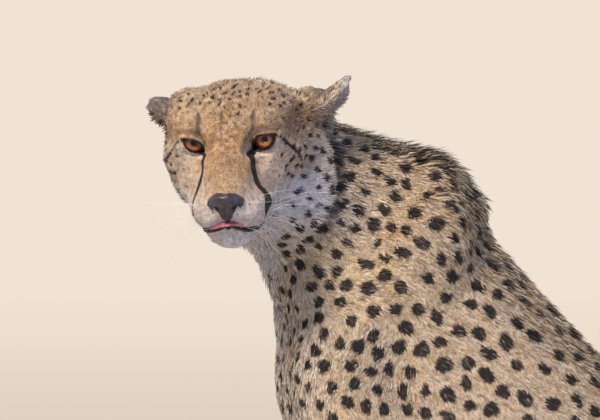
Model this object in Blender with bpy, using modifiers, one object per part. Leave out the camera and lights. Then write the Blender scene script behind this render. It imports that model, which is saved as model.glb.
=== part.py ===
"""A cheetah that sits with its head turned over its left shoulder: a still, life-size model.

Metres, +Z up. The animal faces -Y, its left side is +X, and its soles and haunches rest on Z = 0.
Flesh masses are joined by voxel remeshing and smoothed into one body, which is then parted by thin
cuts into the pieces that a person would name. The outer surface is that of the coat.
"""

import math

import bmesh
import bpy
from mathutils import Matrix, Vector

# Driving dimensions
WITHERS = 0.775  # height of the shoulder blades above the floor
CM = 0.01 * WITHERS / 0.775  # head and paw sizes are given in centimetres at this stature
CUT = 0.0003  # width of the thin cuts between pieces
SOLE_LEVEL = 0.004  # all that bears weight is cut flat at this height, which becomes the floor
BODY_VOXEL = 0.006
FINE_VOXEL = 0.0032
NOSE_VOXEL = 0.0012
BODY_TRIANGLES = 4300
EYE_RADIUS = 1.65 * CM
RING_SIDES = 28
FLAT_ANGLE = 4  # degrees between triangles that count as one flat
SIDES = (1, -1)  # left, right
# For each side, how far its forepaw and its hindfoot stand ahead of square
STANCE = ((1, 0.012, 0.0), (-1, -0.010, 0.015))

# The head looks out over the left shoulder
HEAD_PLACE = Vector((0.150, -0.107, 0.786)) * (WITHERS / 0.775)  # midway between the eyes
HEAD_YAW = math.radians(5)  # from square to the left, back towards the breast
HEAD_PITCH = math.radians(15)  # nose down
HEAD_ROLL = math.radians(3)  # left ear up

FACE_FINISH = {"eye_left": "eye", "eye_right": "eye", "nose": "nose_leather", "tongue": "tongue"}
MATERIALS = {
    "coat": ((0.56, 0.40, 0.22, 1), 0.85),
    "nose_leather": ((0.05, 0.045, 0.05, 1), 0.45),
    "eye": ((0.42, 0.17, 0.03, 1), 0.08),
    "tongue": ((0.62, 0.18, 0.20, 1), 0.4),
}


def clear_scene():
    for thing in list(bpy.data.objects):
        bpy.data.objects.remove(thing, do_unlink=True)


def new_collection(name):
    made = bpy.data.collections.new(name)
    bpy.context.scene.collection.children.link(made)
    return made


def material(name):
    """A Principled BSDF with the piece's colour and roughness."""
    made = bpy.data.materials.get(name)
    if made:
        return made
    colour, roughness = MATERIALS[name]
    made = bpy.data.materials.new(name)
    made.use_nodes = True
    shader = made.node_tree.nodes["Principled BSDF"]
    shader.inputs["Base Color"].default_value = colour
    shader.inputs["Roughness"].default_value = roughness
    return made


def head_matrix():
    """Head frame: X forward along the muzzle, Y to the animal's left, Z up, centimetres to metres."""
    turn = Matrix.Rotation(-HEAD_YAW, 4, "Z")
    nod = Matrix.Rotation(HEAD_PITCH, 4, "Y")
    lean = Matrix.Rotation(HEAD_ROLL, 4, "X")
    return Matrix.Translation(HEAD_PLACE) @ turn @ nod @ lean @ Matrix.Scale(CM, 4)


HEAD = head_matrix()
BODY = Matrix.Scale(WITHERS / 0.775, 4)


# ---------------------------------------------------------------- shapes


def ellipsoid(mesh, frame, centre, radii, turns=(0, 0, 0), segments=28):
    """A sphere stretched to three radii and turned about X, Y and Z in degrees."""
    spin = Matrix.Identity(4)
    for axis, angle in zip("XYZ", turns):
        spin = Matrix.Rotation(math.radians(angle), 4, axis) @ spin
    place = frame @ Matrix.Translation(centre) @ spin @ Matrix.Diagonal((*radii, 1))
    parallels = segments // 2
    rows = []
    for i in range(1, parallels):
        polar = math.pi * i / parallels
        row = []
        for k in range(segments):
            angle = math.tau * k / segments
            flat = math.sin(polar)
            spot = Vector((flat * math.cos(angle), flat * math.sin(angle), math.cos(polar)))
            row.append(mesh.verts.new(place @ spot))
        rows.append(row)
    top = mesh.verts.new(place @ Vector((0, 0, 1)))
    bottom = mesh.verts.new(place @ Vector((0, 0, -1)))
    for k in range(segments):
        j = (k + 1) % segments
        mesh.faces.new((top, rows[0][k], rows[0][j]))
        mesh.faces.new((bottom, rows[-1][j], rows[-1][k]))
        for high, low in zip(rows, rows[1:]):
            mesh.faces.new((high[k], low[k], low[j], high[j]))


def skin_rings(mesh, rings):
    """Joins rings of equally many points into one closed loft."""
    rows = [[mesh.verts.new(point) for point in ring] for ring in rings]
    for low, high in zip(rows, rows[1:]):
        for i in range(len(low)):
            j = (i + 1) % len(low)
            mesh.faces.new((low[i], low[j], high[j], high[i]))
    mesh.faces.new(list(reversed(rows[0])))
    mesh.faces.new(rows[-1])


def catmull_rom(a, b, c, d, t):
    """The value between b and c, at the share t, of a smooth curve through all four."""
    bend = 2 * a - 5 * b + 4 * c - d
    twist = 3 * b - a - 3 * c + d
    return 0.5 * (2 * b + t * (c - a) + t * t * bend + t**3 * twist)


def smooth_values(rows, steps):
    """Rows of equally long number lists with smooth rows put in between."""
    found = []
    for i in range(len(rows) - 1):
        before = rows[max(i - 1, 0)]
        after = rows[min(i + 2, len(rows) - 1)]
        around = list(zip(before, rows[i], rows[i + 1], after))
        for step in range(steps):
            found.append([catmull_rom(*four, step / steps) for four in around])
    return found + [list(rows[-1])]


def limb(mesh, frame, stations, steps=5, round_ends=True):
    """A loft of ellipses along a path. Each station is x, y, z, then its radius across and its radius
    in the upright or long direction of the section."""
    rows = smooth_values(stations, steps)
    points = [Vector(row[:3]) for row in rows]
    tangents = [
        (points[min(i + 1, len(points) - 1)] - points[max(i - 1, 0)]).normalized()
        for i in range(len(points))
    ]
    across = Vector((1, 0, 0)) if abs(tangents[0].x) < 0.8 else Vector((0, 1, 0))
    rings = []
    for point, tangent, row in zip(points, tangents, rows):
        across = (across - tangent * across.dot(tangent)).normalized()
        upright = tangent.cross(across)
        rings.append(
            [
                frame
                @ (
                    point
                    + across * row[3] * math.cos(math.tau * k / RING_SIDES)
                    + upright * row[4] * math.sin(math.tau * k / RING_SIDES)
                )
                for k in range(RING_SIDES)
            ]
        )
    skin_rings(mesh, rings)
    for row in (rows[0], rows[-1]) if round_ends else ():
        reach = min(row[3], row[4])
        ellipsoid(mesh, frame, row[:3], (reach, reach, reach), segments=20)


def barrel(mesh, stations, steps=4):
    """The trunk's loft. Each station is the top of the back (y, z), the underside (y, z) and the
    half width; a section lies in the plane of its top, its underside and the X axis."""
    rings = []
    for top_y, top_z, low_y, low_z, half in smooth_values(stations, steps):
        middle = Vector((0, (top_y + low_y) / 2, (top_z + low_z) / 2))
        up = Vector((0, (top_y - low_y) / 2, (top_z - low_z) / 2))
        ring = []
        for k in range(RING_SIDES):
            angle = math.tau * k / RING_SIDES
            side = math.copysign(abs(math.cos(angle)) ** 0.92, math.cos(angle))
            ring.append(BODY @ (middle + Vector((half * side, 0, 0)) + up * math.sin(angle)))
        rings.append(ring)
    skin_rings(mesh, rings)


def finished(mesh, name, home):
    """The bmesh as an object with its faces pointing out."""
    bmesh.ops.recalc_face_normals(mesh, faces=mesh.faces)
    data = bpy.data.meshes.new(name)
    mesh.to_mesh(data)
    mesh.free()
    made = bpy.data.objects.new(name, data)
    home.objects.link(made)
    return made


def frozen(thing):
    """Applies the object's modifiers."""
    bpy.context.view_layer.update()
    graph = bpy.context.evaluated_depsgraph_get()
    data = bpy.data.meshes.new_from_object(thing.evaluated_get(graph))
    thing.modifiers.clear()
    thing.data = data
    return thing


def fused(thing, voxel, rounds, factor=0.5):
    """Joins overlapping closed shapes into one skin and softens their joins."""
    remesh = thing.modifiers.new("join", "REMESH")
    remesh.mode = "VOXEL"
    remesh.voxel_size = voxel
    if rounds:
        soften = thing.modifiers.new("soften", "SMOOTH")
        soften.iterations = rounds
        soften.factor = factor
    return frozen(thing)


# ---------------------------------------------------------------- the body's masses


def trunk_masses(mesh):
    barrel(
        mesh,
        [
            (-0.010, 0.688, -0.052, 0.612, 0.046),
            (0.040, 0.728, -0.060, 0.556, 0.080),
            (0.098, 0.742, -0.044, 0.492, 0.098),
            (0.148, 0.696, 0.000, 0.442, 0.106),
            (0.192, 0.646, 0.058, 0.388, 0.110),
            (0.245, 0.590, 0.118, 0.336, 0.111),
            (0.308, 0.527, 0.182, 0.292, 0.106),
            (0.374, 0.457, 0.250, 0.252, 0.098),
            (0.436, 0.377, 0.318, 0.205, 0.094),
            (0.487, 0.288, 0.374, 0.130, 0.096),
            (0.520, 0.195, 0.420, 0.055, 0.092),
            (0.530, 0.110, 0.460, 0.010, 0.070),
            (0.520, 0.070, 0.490, 0.020, 0.035),
        ],
    )
    for side in SIDES:
        # shoulder blade, upper arm and the point of the shoulder
        ellipsoid(mesh, BODY, (side * 0.068, 0.070, 0.645), (0.036, 0.050, 0.102), (-20, side * 9, 0))
        limb(
            mesh,
            BODY,
            [
                (side * 0.062, 0.060, 0.640, 0.038, 0.056),
                (side * 0.074, 0.010, 0.580, 0.042, 0.056),
                (side * 0.080, 0.020, 0.510, 0.042, 0.056),
                (side * 0.082, 0.048, 0.450, 0.038, 0.048),
            ],
        )
        # haunch
        ellipsoid(mesh, BODY, (side * 0.042, 0.468, 0.107), (0.058, 0.080, 0.112), (-15, 0, 0))
    # breast between the shoulders
    ellipsoid(mesh, BODY, (0, -0.012, 0.560), (0.062, 0.052, 0.085))
    ellipsoid(mesh, BODY, (0, 0.012, 0.490), (0.052, 0.050, 0.060))


def neck_masses(mesh):
    limb(
        mesh,
        BODY,
        [
            (0.000, 0.080, 0.650, 0.084, 0.106),
            (0.000, 0.038, 0.686, 0.084, 0.102),
            (0.008, -0.006, 0.716, 0.080, 0.086),
            (0.030, -0.042, 0.738, 0.076, 0.074),
            (0.066, -0.070, 0.750, 0.072, 0.066),
        ],
    )
    # the loose throat, hanging straight from the jaw to the breast
    limb(
        mesh,
        BODY,
        [
            (0.034, -0.044, 0.672, 0.044, 0.034),
            (0.016, -0.031, 0.642, 0.048, 0.035),
            (0.002, -0.027, 0.608, 0.050, 0.036),
            (0.000, -0.020, 0.572, 0.048, 0.038),
        ],
    )
    # the neck's flat sides run on down to the points of the shoulders
    for side in (1, -1):
        limb(
            mesh,
            BODY,
            [
                (side * 0.050, -0.024, 0.672, 0.034, 0.036),
                (side * 0.054, -0.014, 0.618, 0.038, 0.036),
                (side * 0.056, -0.006, 0.560, 0.036, 0.034),
            ],
        )
    # the short mane over nape and withers
    limb(
        mesh,
        BODY,
        [
            (0.036, -0.040, 0.786, 0.046, 0.032),
            (0.016, 0.010, 0.766, 0.050, 0.036),
            (0.004, 0.054, 0.751, 0.062, 0.036),
            (0.000, 0.088, 0.744, 0.072, 0.036),
            (0.000, 0.112, 0.716, 0.070, 0.030),
            (0.000, 0.128, 0.690, 0.060, 0.022),
        ],
    )


def foreleg_masses(mesh, side, ahead):
    """Upright leg from the elbow down to the pastern; ahead moves the paw forwards."""
    limb(
        mesh,
        BODY,
        [
            (side * 0.078, 0.040, 0.475, 0.036, 0.052),
            (side * 0.078, 0.046, 0.420, 0.034, 0.048),
            (side * 0.074, 0.030 - 0.3 * ahead, 0.340, 0.029, 0.038),
            (side * 0.068, 0.014 - 0.6 * ahead, 0.240, 0.024, 0.029),
            (side * 0.064, 0.004 - 0.9 * ahead, 0.158, 0.0245, 0.027),
            (side * 0.062, -0.004 - ahead, 0.110, 0.023, 0.024),
            (side * 0.061, -0.016 - ahead, 0.062, 0.026, 0.026),
            (side * 0.060, -0.030 - ahead, 0.034, 0.029, 0.026),
        ],
    )
    # elbow and the pad behind the wrist
    ellipsoid(mesh, BODY, (side * 0.078, 0.078, 0.428), (0.022, 0.026, 0.030))
    ellipsoid(mesh, BODY, (side * 0.064, 0.022 - 0.9 * ahead, 0.142), (0.012, 0.011, 0.014))


def hindleg_masses(mesh, side, ahead):
    """Folded leg: thigh, shank down to the heel, and the long foot flat on the floor."""
    ellipsoid(mesh, BODY, (side * 0.082, 0.365, 0.225), (0.056, 0.135, 0.112), (24, 0, side * 8))
    ellipsoid(mesh, BODY, (side * 0.098, 0.285, 0.235), (0.046, 0.080, 0.072), (15, 0, side * 12))
    limb(
        mesh,
        BODY,
        [
            (side * 0.112, 0.242, 0.228, 0.040, 0.052),
            (side * 0.116, 0.290, 0.168, 0.037, 0.056),
            (side * 0.114, 0.345, 0.115, 0.030, 0.044),
            (side * 0.110, 0.400, 0.066, 0.022, 0.028),
            (side * 0.108, 0.428, 0.038, 0.020, 0.024),
        ],
    )
    ellipsoid(mesh, BODY, (side * 0.088, 0.400, 0.088), (0.028, 0.050, 0.046))
    limb(
        mesh,
        BODY,
        [
            (side * 0.108, 0.430, 0.027, 0.022, 0.026),
            (side * 0.108, 0.370, 0.023, 0.023, 0.024),
            (side * 0.110, 0.290 - 0.5 * ahead, 0.023, 0.025, 0.024),
            (side * 0.113, 0.225 - ahead, 0.024, 0.029, 0.024),
        ],
    )


def paw_masses(mesh, side, place, turn):
    """Four toes round a heel pad, with a blunt claw on each. The place is the middle of the paw."""
    frame = BODY @ Matrix.Translation(place) @ Matrix.Rotation(math.radians(side * turn), 4, "Z")
    frame = frame @ Matrix.Scale(0.01, 4)
    ellipsoid(mesh, frame, (0, 0.6, 2.0), (3.1, 3.4, 2.2))
    ellipsoid(mesh, frame, (0, 1.4, 0.9), (2.3, 2.0, 1.1))
    for across, reach in ((-2.35, 2.6), (-0.85, 3.7), (0.85, 3.8), (2.35, 2.8)):
        fan = across * 5
        ellipsoid(mesh, frame, (across, -reach, 1.75), (1.12, 2.0, 1.45), (14, 0, fan), 24)
        ellipsoid(mesh, frame, (across, -reach - 0.5, 1.0), (0.95, 1.5, 1.0), (0, 0, fan), 20)
        claw = (across * 1.06, -reach - 2.1, 1.25)
        ellipsoid(mesh, frame, claw, (0.3, 0.85, 0.42), (28, 0, fan), 16)


def tail_masses(mesh):
    limb(
        mesh,
        BODY,
        [
            (0.000, 0.480, 0.080, 0.036, 0.036),
            (0.000, 0.540, 0.048, 0.031, 0.031),
            (0.012, 0.600, 0.028, 0.028, 0.028),
            (0.052, 0.668, 0.024, 0.026, 0.026),
            (0.125, 0.718, 0.023, 0.025, 0.025),
            (0.215, 0.730, 0.023, 0.025, 0.025),
            (0.300, 0.692, 0.024, 0.026, 0.026),
            (0.358, 0.622, 0.025, 0.028, 0.028),
            (0.385, 0.540, 0.026, 0.028, 0.028),
            (0.388, 0.490, 0.026, 0.020, 0.020),
        ],
        steps=8,
    )


# ---------------------------------------------------------------- the head's masses


def head_masses(mesh):
    """Skull, face and cheek ruff. Sizes are centimetres in the head frame."""
    ellipsoid(mesh, HEAD, (-6.2, 0.2, 0.0), (6.5, 6.0, 4.55))
    ellipsoid(mesh, HEAD, (-10.2, 0.9, -0.9), (4.4, 6.5, 4.7))
    ellipsoid(mesh, HEAD, (-3.4, 0, 0.8), (3.6, 4.5, 3.1))
    # bridge of the nose
    limb(
        mesh,
        HEAD,
        [
            (-2.6, 0.0, 1.3, 2.9, 2.5),
            (0.0, 0.0, 0.1, 2.65, 2.3),
            (2.4, 0.0, -1.35, 2.45, 2.1),
            (4.6, 0.1, -2.75, 2.3, 1.9),
            (6.1, 0.15, -3.95, 2.0, 1.65),
        ],
    )
    # lower jaw and chin
    limb(
        mesh,
        HEAD,
        [
            (-5.0, 0.0, -6.0, 4.2, 3.8),
            (-1.0, 0.0, -6.6, 3.6, 2.8),
            (2.6, 0.0, -7.2, 2.9, 2.15),
            (4.9, 0.1, -7.6, 2.3, 1.7),
        ],
    )
    ellipsoid(mesh, HEAD, (1.6, 0, -4.2), (4.6, 3.6, 3.2))
    for side in SIDES:
        # brow, temple, cheek bone, cheek and whisker pads
        ellipsoid(mesh, HEAD, (-1.7, side * 3.0, 1.5), (2.5, 2.7, 1.7), (side * 14, 0, side * -16))
        ellipsoid(mesh, HEAD, (-4.6, side * 3.7, 1.2), (3.8, 2.8, 3.1))
        ellipsoid(mesh, HEAD, (-2.4, side * 4.3, -1.9), (3.4, 2.5, 2.3), (0, 0, side * -26))
        ellipsoid(mesh, HEAD, (-0.6, side * 2.9, -3.7), (3.8, 2.5, 2.8), (0, 0, side * -18))
        ellipsoid(mesh, HEAD, (-4.6, side * 3.6, -3.3), (4.4, 2.9, 4.0))
        ellipsoid(mesh, HEAD, (4.6, 0.15 + side * 1.7, -5.3), (2.7, 2.15, 2.05), (0, 8, side * -10))
        ellipsoid(mesh, HEAD, (2.4, 0.1 + side * 2.1, -5.4), (3.0, 2.1, 2.2), (0, 0, side * -14))
        # lids over the eye
        ellipsoid(mesh, HEAD, (EYE_PLACE.x, side * EYE_PLACE.y, EYE_PLACE.z), (1.95, 1.95, 1.95))
    for root, lengthwise, *_ in EARS.values():
        ellipsoid(mesh, HEAD, Vector(root) + 0.8 * Vector(lengthwise), (2.5, 2.3, 1.9))
    # ruff below the ear: the right one lies flat, the left one is pushed out by the fold of the neck
    ellipsoid(mesh, HEAD, (-8.0, -4.1, -2.2), (3.8, 3.2, 4.4))
    ellipsoid(mesh, HEAD, (-7.2, -2.6, -5.4), (4.2, 2.9, 4.0))
    ellipsoid(mesh, HEAD, (-7.0, 5.0, -2.6), (4.2, 3.5, 5.0))
    ellipsoid(mesh, HEAD, (-8.8, 6.6, -3.9), (3.4, 3.5, 5.4))
    ellipsoid(mesh, HEAD, (-6.2, 4.8, -6.6), (4.4, 3.7, 4.4))
    ellipsoid(mesh, HEAD, (-4.6, 1.8, -7.2), (4.2, 4.0, 3.8))


def ear_shell(home, root, lengthwise, opening, half_wide):
    """A cupped, rounded ear, leaning along lengthwise and open towards opening, as a solid shell."""
    up = Vector(lengthwise).normalized()
    out = Vector(opening)
    out = (out - up * out.dot(up)).normalized()
    wide = up.cross(out)
    rows, columns, tall = 14, 16, 5.8
    mesh = bmesh.new()
    grid = []
    for i in range(rows + 1):
        share = i / rows
        reach = math.sqrt(max(0.0, 1 - max(0.0, (share - 0.42) / 0.58) ** 2.3))
        half = half_wide * (0.80 + 0.20 * math.sin(math.pi * min(share / 0.42, 1) / 2)) * reach
        line = []
        for j in range(columns + 1):
            t = 2 * j / columns - 1
            cup = 1.45 * t * t * (half / half_wide) - 0.7 * share * share
            spot = Vector(root) + up * tall * share + wide * half * t + out * cup
            line.append(mesh.verts.new(HEAD @ spot))
        grid.append(line)
    for low, high in zip(grid, grid[1:]):
        for j in range(columns):
            mesh.faces.new((low[j], low[j + 1], high[j + 1], high[j]))
    bmesh.ops.remove_doubles(mesh, verts=mesh.verts, dist=0.05 * CM)
    shell = finished(mesh, "ear_shell", home)
    solidify = shell.modifiers.new("thickness", "SOLIDIFY")
    solidify.thickness = 0.55 * CM
    solidify.offset = 0
    return frozen(shell)


EARS = {
    # name: root, direction of its length, direction of its opening, half width, where it is cut off
    "ear_left": ((-7.6, 6.6, 1.0), (-0.30, 0.87, 0.40), (0.35, 0.42, -0.80), 2.95, 1.45),
    "ear_right": ((-7.2, -3.6, 1.9), (-0.50, -0.86, -0.02), (-0.06, 0.05, -1.0), 2.5, 2.9),
}

EYES = {"eye_left": 1, "eye_right": -1}
EYE_PLACE = Vector((-0.75, 3.55, 0.0))
LID_SLANT = 26  # degrees, outer corner of the eye up


# nose leather: top pad, two wings and the wedge between them; centimetres in the head frame
NOSE_MASSES = [
    ((6.75, 0.0, -3.85), (1.25, 1.60, 0.85)),
    ((6.72, 0.0, -4.40), (1.18, 1.25, 0.85)),
    ((6.70, 0.85, -4.15), (1.15, 1.00, 0.80)),
    ((6.70, -0.85, -4.15), (1.15, 1.00, 0.80)),
    ((6.75, 0.0, -4.75), (1.20, 0.80, 1.15)),
]
# the lips, from the left corner of the mouth to the middle
MOUTH_LINE = [(0.6, 3.5, -7.2), (3.0, 3.1, -7.25), (5.4, 1.9, -6.85), (6.6, 0.0, -6.5)]


# the foreleg as seen from the side, y and z, from the elbow to the wrist
FORELEG_OUTLINE = [
    (-0.160, 0.531),
    (0.098, 0.437),
    (0.098, 0.400),
    (0.085, 0.360),
    (0.085, 0.100),
    (-0.160, 0.100),
]


def eye_centre(side):
    return HEAD @ Vector((EYE_PLACE.x, side * EYE_PLACE.y, EYE_PLACE.z))


# ---------------------------------------------------------------- assembly


def whole_body(scratch):
    """All flesh as one closed mesh: body softened first, then head, ears and paws added."""
    mesh = bmesh.new()
    trunk_masses(mesh)
    neck_masses(mesh)
    tail_masses(mesh)
    for side, fore, hind in STANCE:
        foreleg_masses(mesh, side, fore)
        hindleg_masses(mesh, side, hind)
    body = fused(finished(mesh, "body", scratch), BODY_VOXEL, 14)

    mesh = bmesh.new()
    head_masses(mesh)
    head = fused(finished(mesh, "head_mass", scratch), FINE_VOXEL, 12)

    mesh = bmesh.new()
    for thing in (body, head):
        mesh.from_mesh(thing.data)
    for ear in EARS.values():
        mesh.from_mesh(ear_shell(scratch, *ear[:4]).data)
    for side, fore, hind in STANCE:
        paw_masses(mesh, side, (side * 0.060, -0.034 - fore, 0), 4)
        paw_masses(mesh, side, (side * 0.115, 0.205 - hind, 0), 9)
    data = bpy.data.meshes.new("whole")
    mesh.to_mesh(data)
    mesh.free()
    whole = bpy.data.objects.new("whole", data)
    scratch.objects.link(whole)
    fused(whole, FINE_VOXEL, 3)
    thin = whole.modifiers.new("fewer", "DECIMATE")
    thin.ratio = BODY_TRIANGLES / (2 * len(whole.data.polygons))
    thin.use_collapse_triangulate = True
    frozen(whole)
    level_soles(whole.data)
    return whole


def level_soles(data):
    """Cuts the underside flat at one level."""
    mesh = bmesh.new()
    mesh.from_mesh(data)
    everything = mesh.verts[:] + mesh.edges[:] + mesh.faces[:]
    floor = (0, 0, SOLE_LEVEL)
    bmesh.ops.bisect_plane(
        mesh, geom=everything, plane_co=floor, plane_no=(0, 0, -1), clear_outer=True
    )
    rims = [edge for edge in mesh.edges if edge.is_boundary]
    bmesh.ops.holes_fill(mesh, edges=rims)
    bmesh.ops.triangulate(mesh, faces=mesh.faces)
    bmesh.ops.recalc_face_normals(mesh, faces=mesh.faces)
    mesh.to_mesh(data)
    mesh.free()


def cutter(home, name, build, grow):
    """A region of space as a wire guide; grow widens it by the width of a cut."""
    mesh = bmesh.new()
    build(mesh, grow)
    made = finished(mesh, name, home)
    made.hide_render = True
    made.display_type = "WIRE"
    return made


def boolean(thing, other, operation):
    change = thing.modifiers.new(operation.lower(), "BOOLEAN")
    change.operation = operation
    change.solver = "EXACT"
    change.object = other
    return frozen(thing)


def largest_only(data):
    """Drops crumbs that a cut may leave."""
    mesh = bmesh.new()
    mesh.from_mesh(data)
    left = set(mesh.verts)
    groups = []
    while left:
        start = left.pop()
        group, waiting = {start}, [start]
        while waiting:
            vert = waiting.pop()
            for link in vert.link_edges:
                other = link.other_vert(vert)
                if other in left:
                    left.discard(other)
                    group.add(other)
                    waiting.append(other)
        groups.append(group)
    keep = max(groups, key=len)
    bmesh.ops.delete(mesh, geom=[v for v in mesh.verts if v not in keep], context="VERTS")
    mesh.to_mesh(data)
    mesh.free()


def part_off(rest, home, scratch, name, build):
    """Splits the region off the rest of the body as its own piece, with a thin cut between."""
    piece = bpy.data.objects.new(name, rest.data.copy())
    home.objects.link(piece)
    boolean(piece, cutter(scratch, name + "_region", build, 0), "INTERSECT")
    largest_only(piece.data)
    boolean(rest, cutter(scratch, name + "_cut", build, CUT), "DIFFERENCE")
    return piece


def slab(frame, low, high):
    """A box region between two corners of a frame."""

    def build(mesh, grow):
        size = [h - l + 2 * grow for l, h in zip(low, high)]
        middle = [(l + h) / 2 for l, h in zip(low, high)]
        place = frame @ Matrix.Translation(middle) @ Matrix.Diagonal((*size, 1))
        bmesh.ops.create_cube(mesh, size=1, matrix=place)

    return build


def across(side, near, far, low, high):
    """The two corners of a box on one side of the animal, from its y and z limits."""
    start, end = sorted((side * near, side * far))
    return (start, *low), (end, *high)


def prism(side, near, far, outline):
    """A region with a side view outline of (y, z) points, between two distances from the middle."""

    def build(mesh, grow):
        centre = Vector((0, sum(y for y, _ in outline), sum(z for _, z in outline))) / len(outline)
        rings = []
        for x in (side * (near - grow), side * (far + grow)):
            ring = []
            for y, z in outline:
                spot = Vector((0, y, z))
                spot += (spot - centre).normalized() * grow * 1.4
                ring.append(BODY @ Vector((x, spot.y, spot.z)))
            rings.append(ring)
        skin_rings(mesh, rings)

    return build


def ball(centre, radii, turns=(0, 0, 0), frame=BODY, unit=1.0):
    """A rounded region, in a frame whose unit is so many metres."""

    def build(mesh, grow):
        ellipsoid(mesh, frame, centre, [r + grow / unit for r in radii], turns, 20)

    return build


def tilted(place, turns):
    """A frame at a place of the body, turned about X, Y and Z in degrees."""
    spin = Matrix.Identity(4)
    for axis, angle in zip("XYZ", turns):
        spin = Matrix.Rotation(math.radians(angle), 4, axis) @ spin
    return BODY @ Matrix.Translation(place) @ spin


def metres(frame):
    """The head frame without its centimetre scale."""
    place, spin, _ = frame.decompose()
    return Matrix.Translation(place) @ spin.to_matrix().to_4x4()


def ear_region(root, lengthwise, opening, foot):
    """A box whose floor lies across the root of the ear."""
    up = Vector(lengthwise).normalized()
    out = Vector(opening)
    out = (out - up * out.dot(up)).normalized()
    spin = Matrix((up.cross(out), out, up)).transposed().to_4x4()
    frame = metres(HEAD) @ Matrix.Translation(Vector(root) * CM) @ spin
    return slab(frame, (-0.036, -0.022, foot * CM), (0.036, 0.021, 0.09))


def parted(whole, home, scratch):
    """Parts the whole body into its named pieces."""
    pieces = []
    for name, (root, lengthwise, opening, _, foot) in EARS.items():
        region = ear_region(root, lengthwise, opening, foot)
        pieces.append(part_off(whole, home, scratch, name, region))
    face = ball((-1.0, -0.6, -2.8), (13.6, 11.5, 10.8), frame=HEAD, unit=CM)
    pieces.append(part_off(whole, home, scratch, "head", face))
    neck_base = tilted((0, 0.015, 0.700), (-43, 0, 0))
    pieces.append(
        part_off(whole, home, scratch, "neck", slab(neck_base, (-0.15, -0.30, -0.125), (0.22, 0.0, 0.20)))
    )
    for side, tag in ((1, "left"), (-1, "right")):
        paw = slab(BODY, *across(side, 0.012, 0.2, (-0.16, -0.1), (0.12, 0.128)))
        pieces.append(part_off(whole, home, scratch, f"forepaw_{tag}", paw))
        leg = prism(side, 0.034, 0.2, FORELEG_OUTLINE)
        pieces.append(part_off(whole, home, scratch, f"foreleg_{tag}", leg))
        foot = slab(BODY, *across(side, 0.085, 0.2, (0.08, -0.1), (0.452, 0.052)))
        pieces.append(part_off(whole, home, scratch, f"hindfoot_{tag}", foot))
        thigh = ball((side * 0.155, 0.335, 0.170), (0.115, 0.185, 0.215), (14, 0, 0))
        pieces.append(part_off(whole, home, scratch, f"hindleg_{tag}", thigh))
    for name, low, high in (
        ("tail_tip", (0.27, 0.40, -0.1), (0.6, 0.9, 0.1)),
        ("tail_middle", (0.045, 0.60, -0.1), (0.60, 0.9, 0.1)),
        ("tail_base", (-0.06, 0.553, -0.1), (0.60, 0.9, 0.1)),
    ):
        pieces.append(part_off(whole, home, scratch, name, slab(BODY, low, high)))
    whole.name = "trunk"
    scratch.objects.unlink(whole)
    home.objects.link(whole)
    largest_only(whole.data)
    pieces.append(whole)
    for piece in pieces:
        piece.data.materials.clear()
        piece.data.materials.append(material("coat"))
    return {piece.name: piece for piece in pieces}


def grown(thing, home, name, amount):
    """A copy of the thing, swollen by an amount, as a cutter."""
    mesh = bmesh.new()
    mesh.from_mesh(thing.data)
    mesh.normal_update()
    for vert in mesh.verts:
        vert.co += vert.normal * amount
    return finished(mesh, name, home)


def nose_leather(home):
    """The nose pad with its wings in one smooth piece."""
    mesh = bmesh.new()
    for centre, radii in NOSE_MASSES:
        ellipsoid(mesh, HEAD, centre, radii, (0, -18, 0), 20)
    leather = fused(finished(mesh, "nose", home), NOSE_VOXEL, 4)
    fewer = leather.modifiers.new("fewer", "DECIMATE")
    fewer.ratio = 260 / (2 * len(leather.data.polygons))
    fewer.use_collapse_triangulate = True
    return frozen(leather)


def eye_opening(mesh, side):
    """The almond between the lids, slanting up and out."""
    place = Vector((EYE_PLACE.x + 1.5, side * (EYE_PLACE.y - 0.05), EYE_PLACE.z - 0.05))
    ellipsoid(mesh, HEAD, place, (1.6, 1.2, 0.78), (side * LID_SLANT, 0, side * 8), 16)


def face_parts(pieces, home, scratch):
    """Eyeballs behind almond openings, the nose leather, the line of the lips and the tongue."""
    for name, side in EYES.items():
        mesh = bmesh.new()
        ellipsoid(mesh, Matrix.Translation(eye_centre(side)), (0, 0, 0), [EYE_RADIUS] * 3, segments=14)
        pieces[name] = finished(mesh, name, home)
        mesh = bmesh.new()
        eye_opening(mesh, side)
        boolean(pieces["head"], finished(mesh, name + "_opening", scratch), "DIFFERENCE")
    pieces["nose"] = nose_leather(home)
    mesh = bmesh.new()
    ellipsoid(mesh, HEAD, (5.9, -0.40, -6.60), (1.75, 1.35, 0.22), (4, -16, 0), 14)
    pieces["tongue"] = finished(mesh, "tongue", home)
    mesh = bmesh.new()
    left = [(x, 0.1 + y, z, 0.13, 0.5) for x, y, z in MOUTH_LINE]
    right = [(x, 0.1 - y, z, 0.13, 0.5) for x, y, z in reversed(MOUTH_LINE[:-1])]
    limb(mesh, HEAD, left + right, steps=2, round_ends=False)
    boolean(pieces["head"], finished(mesh, "mouth_line", scratch), "DIFFERENCE")
    for name in ("eye_left", "eye_right", "nose", "tongue"):
        hollow = grown(pieces[name], scratch, name + "_hollow", 1.2 * CUT)
        boolean(pieces["head"], hollow, "DIFFERENCE")
        pieces[name].data.materials.clear()
        pieces[name].data.materials.append(material(FACE_FINISH[name]))
    largest_only(pieces["head"].data)
    boolean(pieces["tongue"], scratch.objects["nose_hollow"], "DIFFERENCE")


def flats_merged(data):
    """Joins triangles that lie in nearly the same plane, then triangulates afresh."""
    mesh = bmesh.new()
    mesh.from_mesh(data)
    bmesh.ops.remove_doubles(mesh, verts=mesh.verts, dist=0.0002)
    bmesh.ops.dissolve_limit(
        mesh, angle_limit=math.radians(FLAT_ANGLE), verts=mesh.verts, edges=mesh.edges
    )
    bmesh.ops.triangulate(mesh, faces=mesh.faces)
    mesh.to_mesh(data)
    mesh.free()


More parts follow.
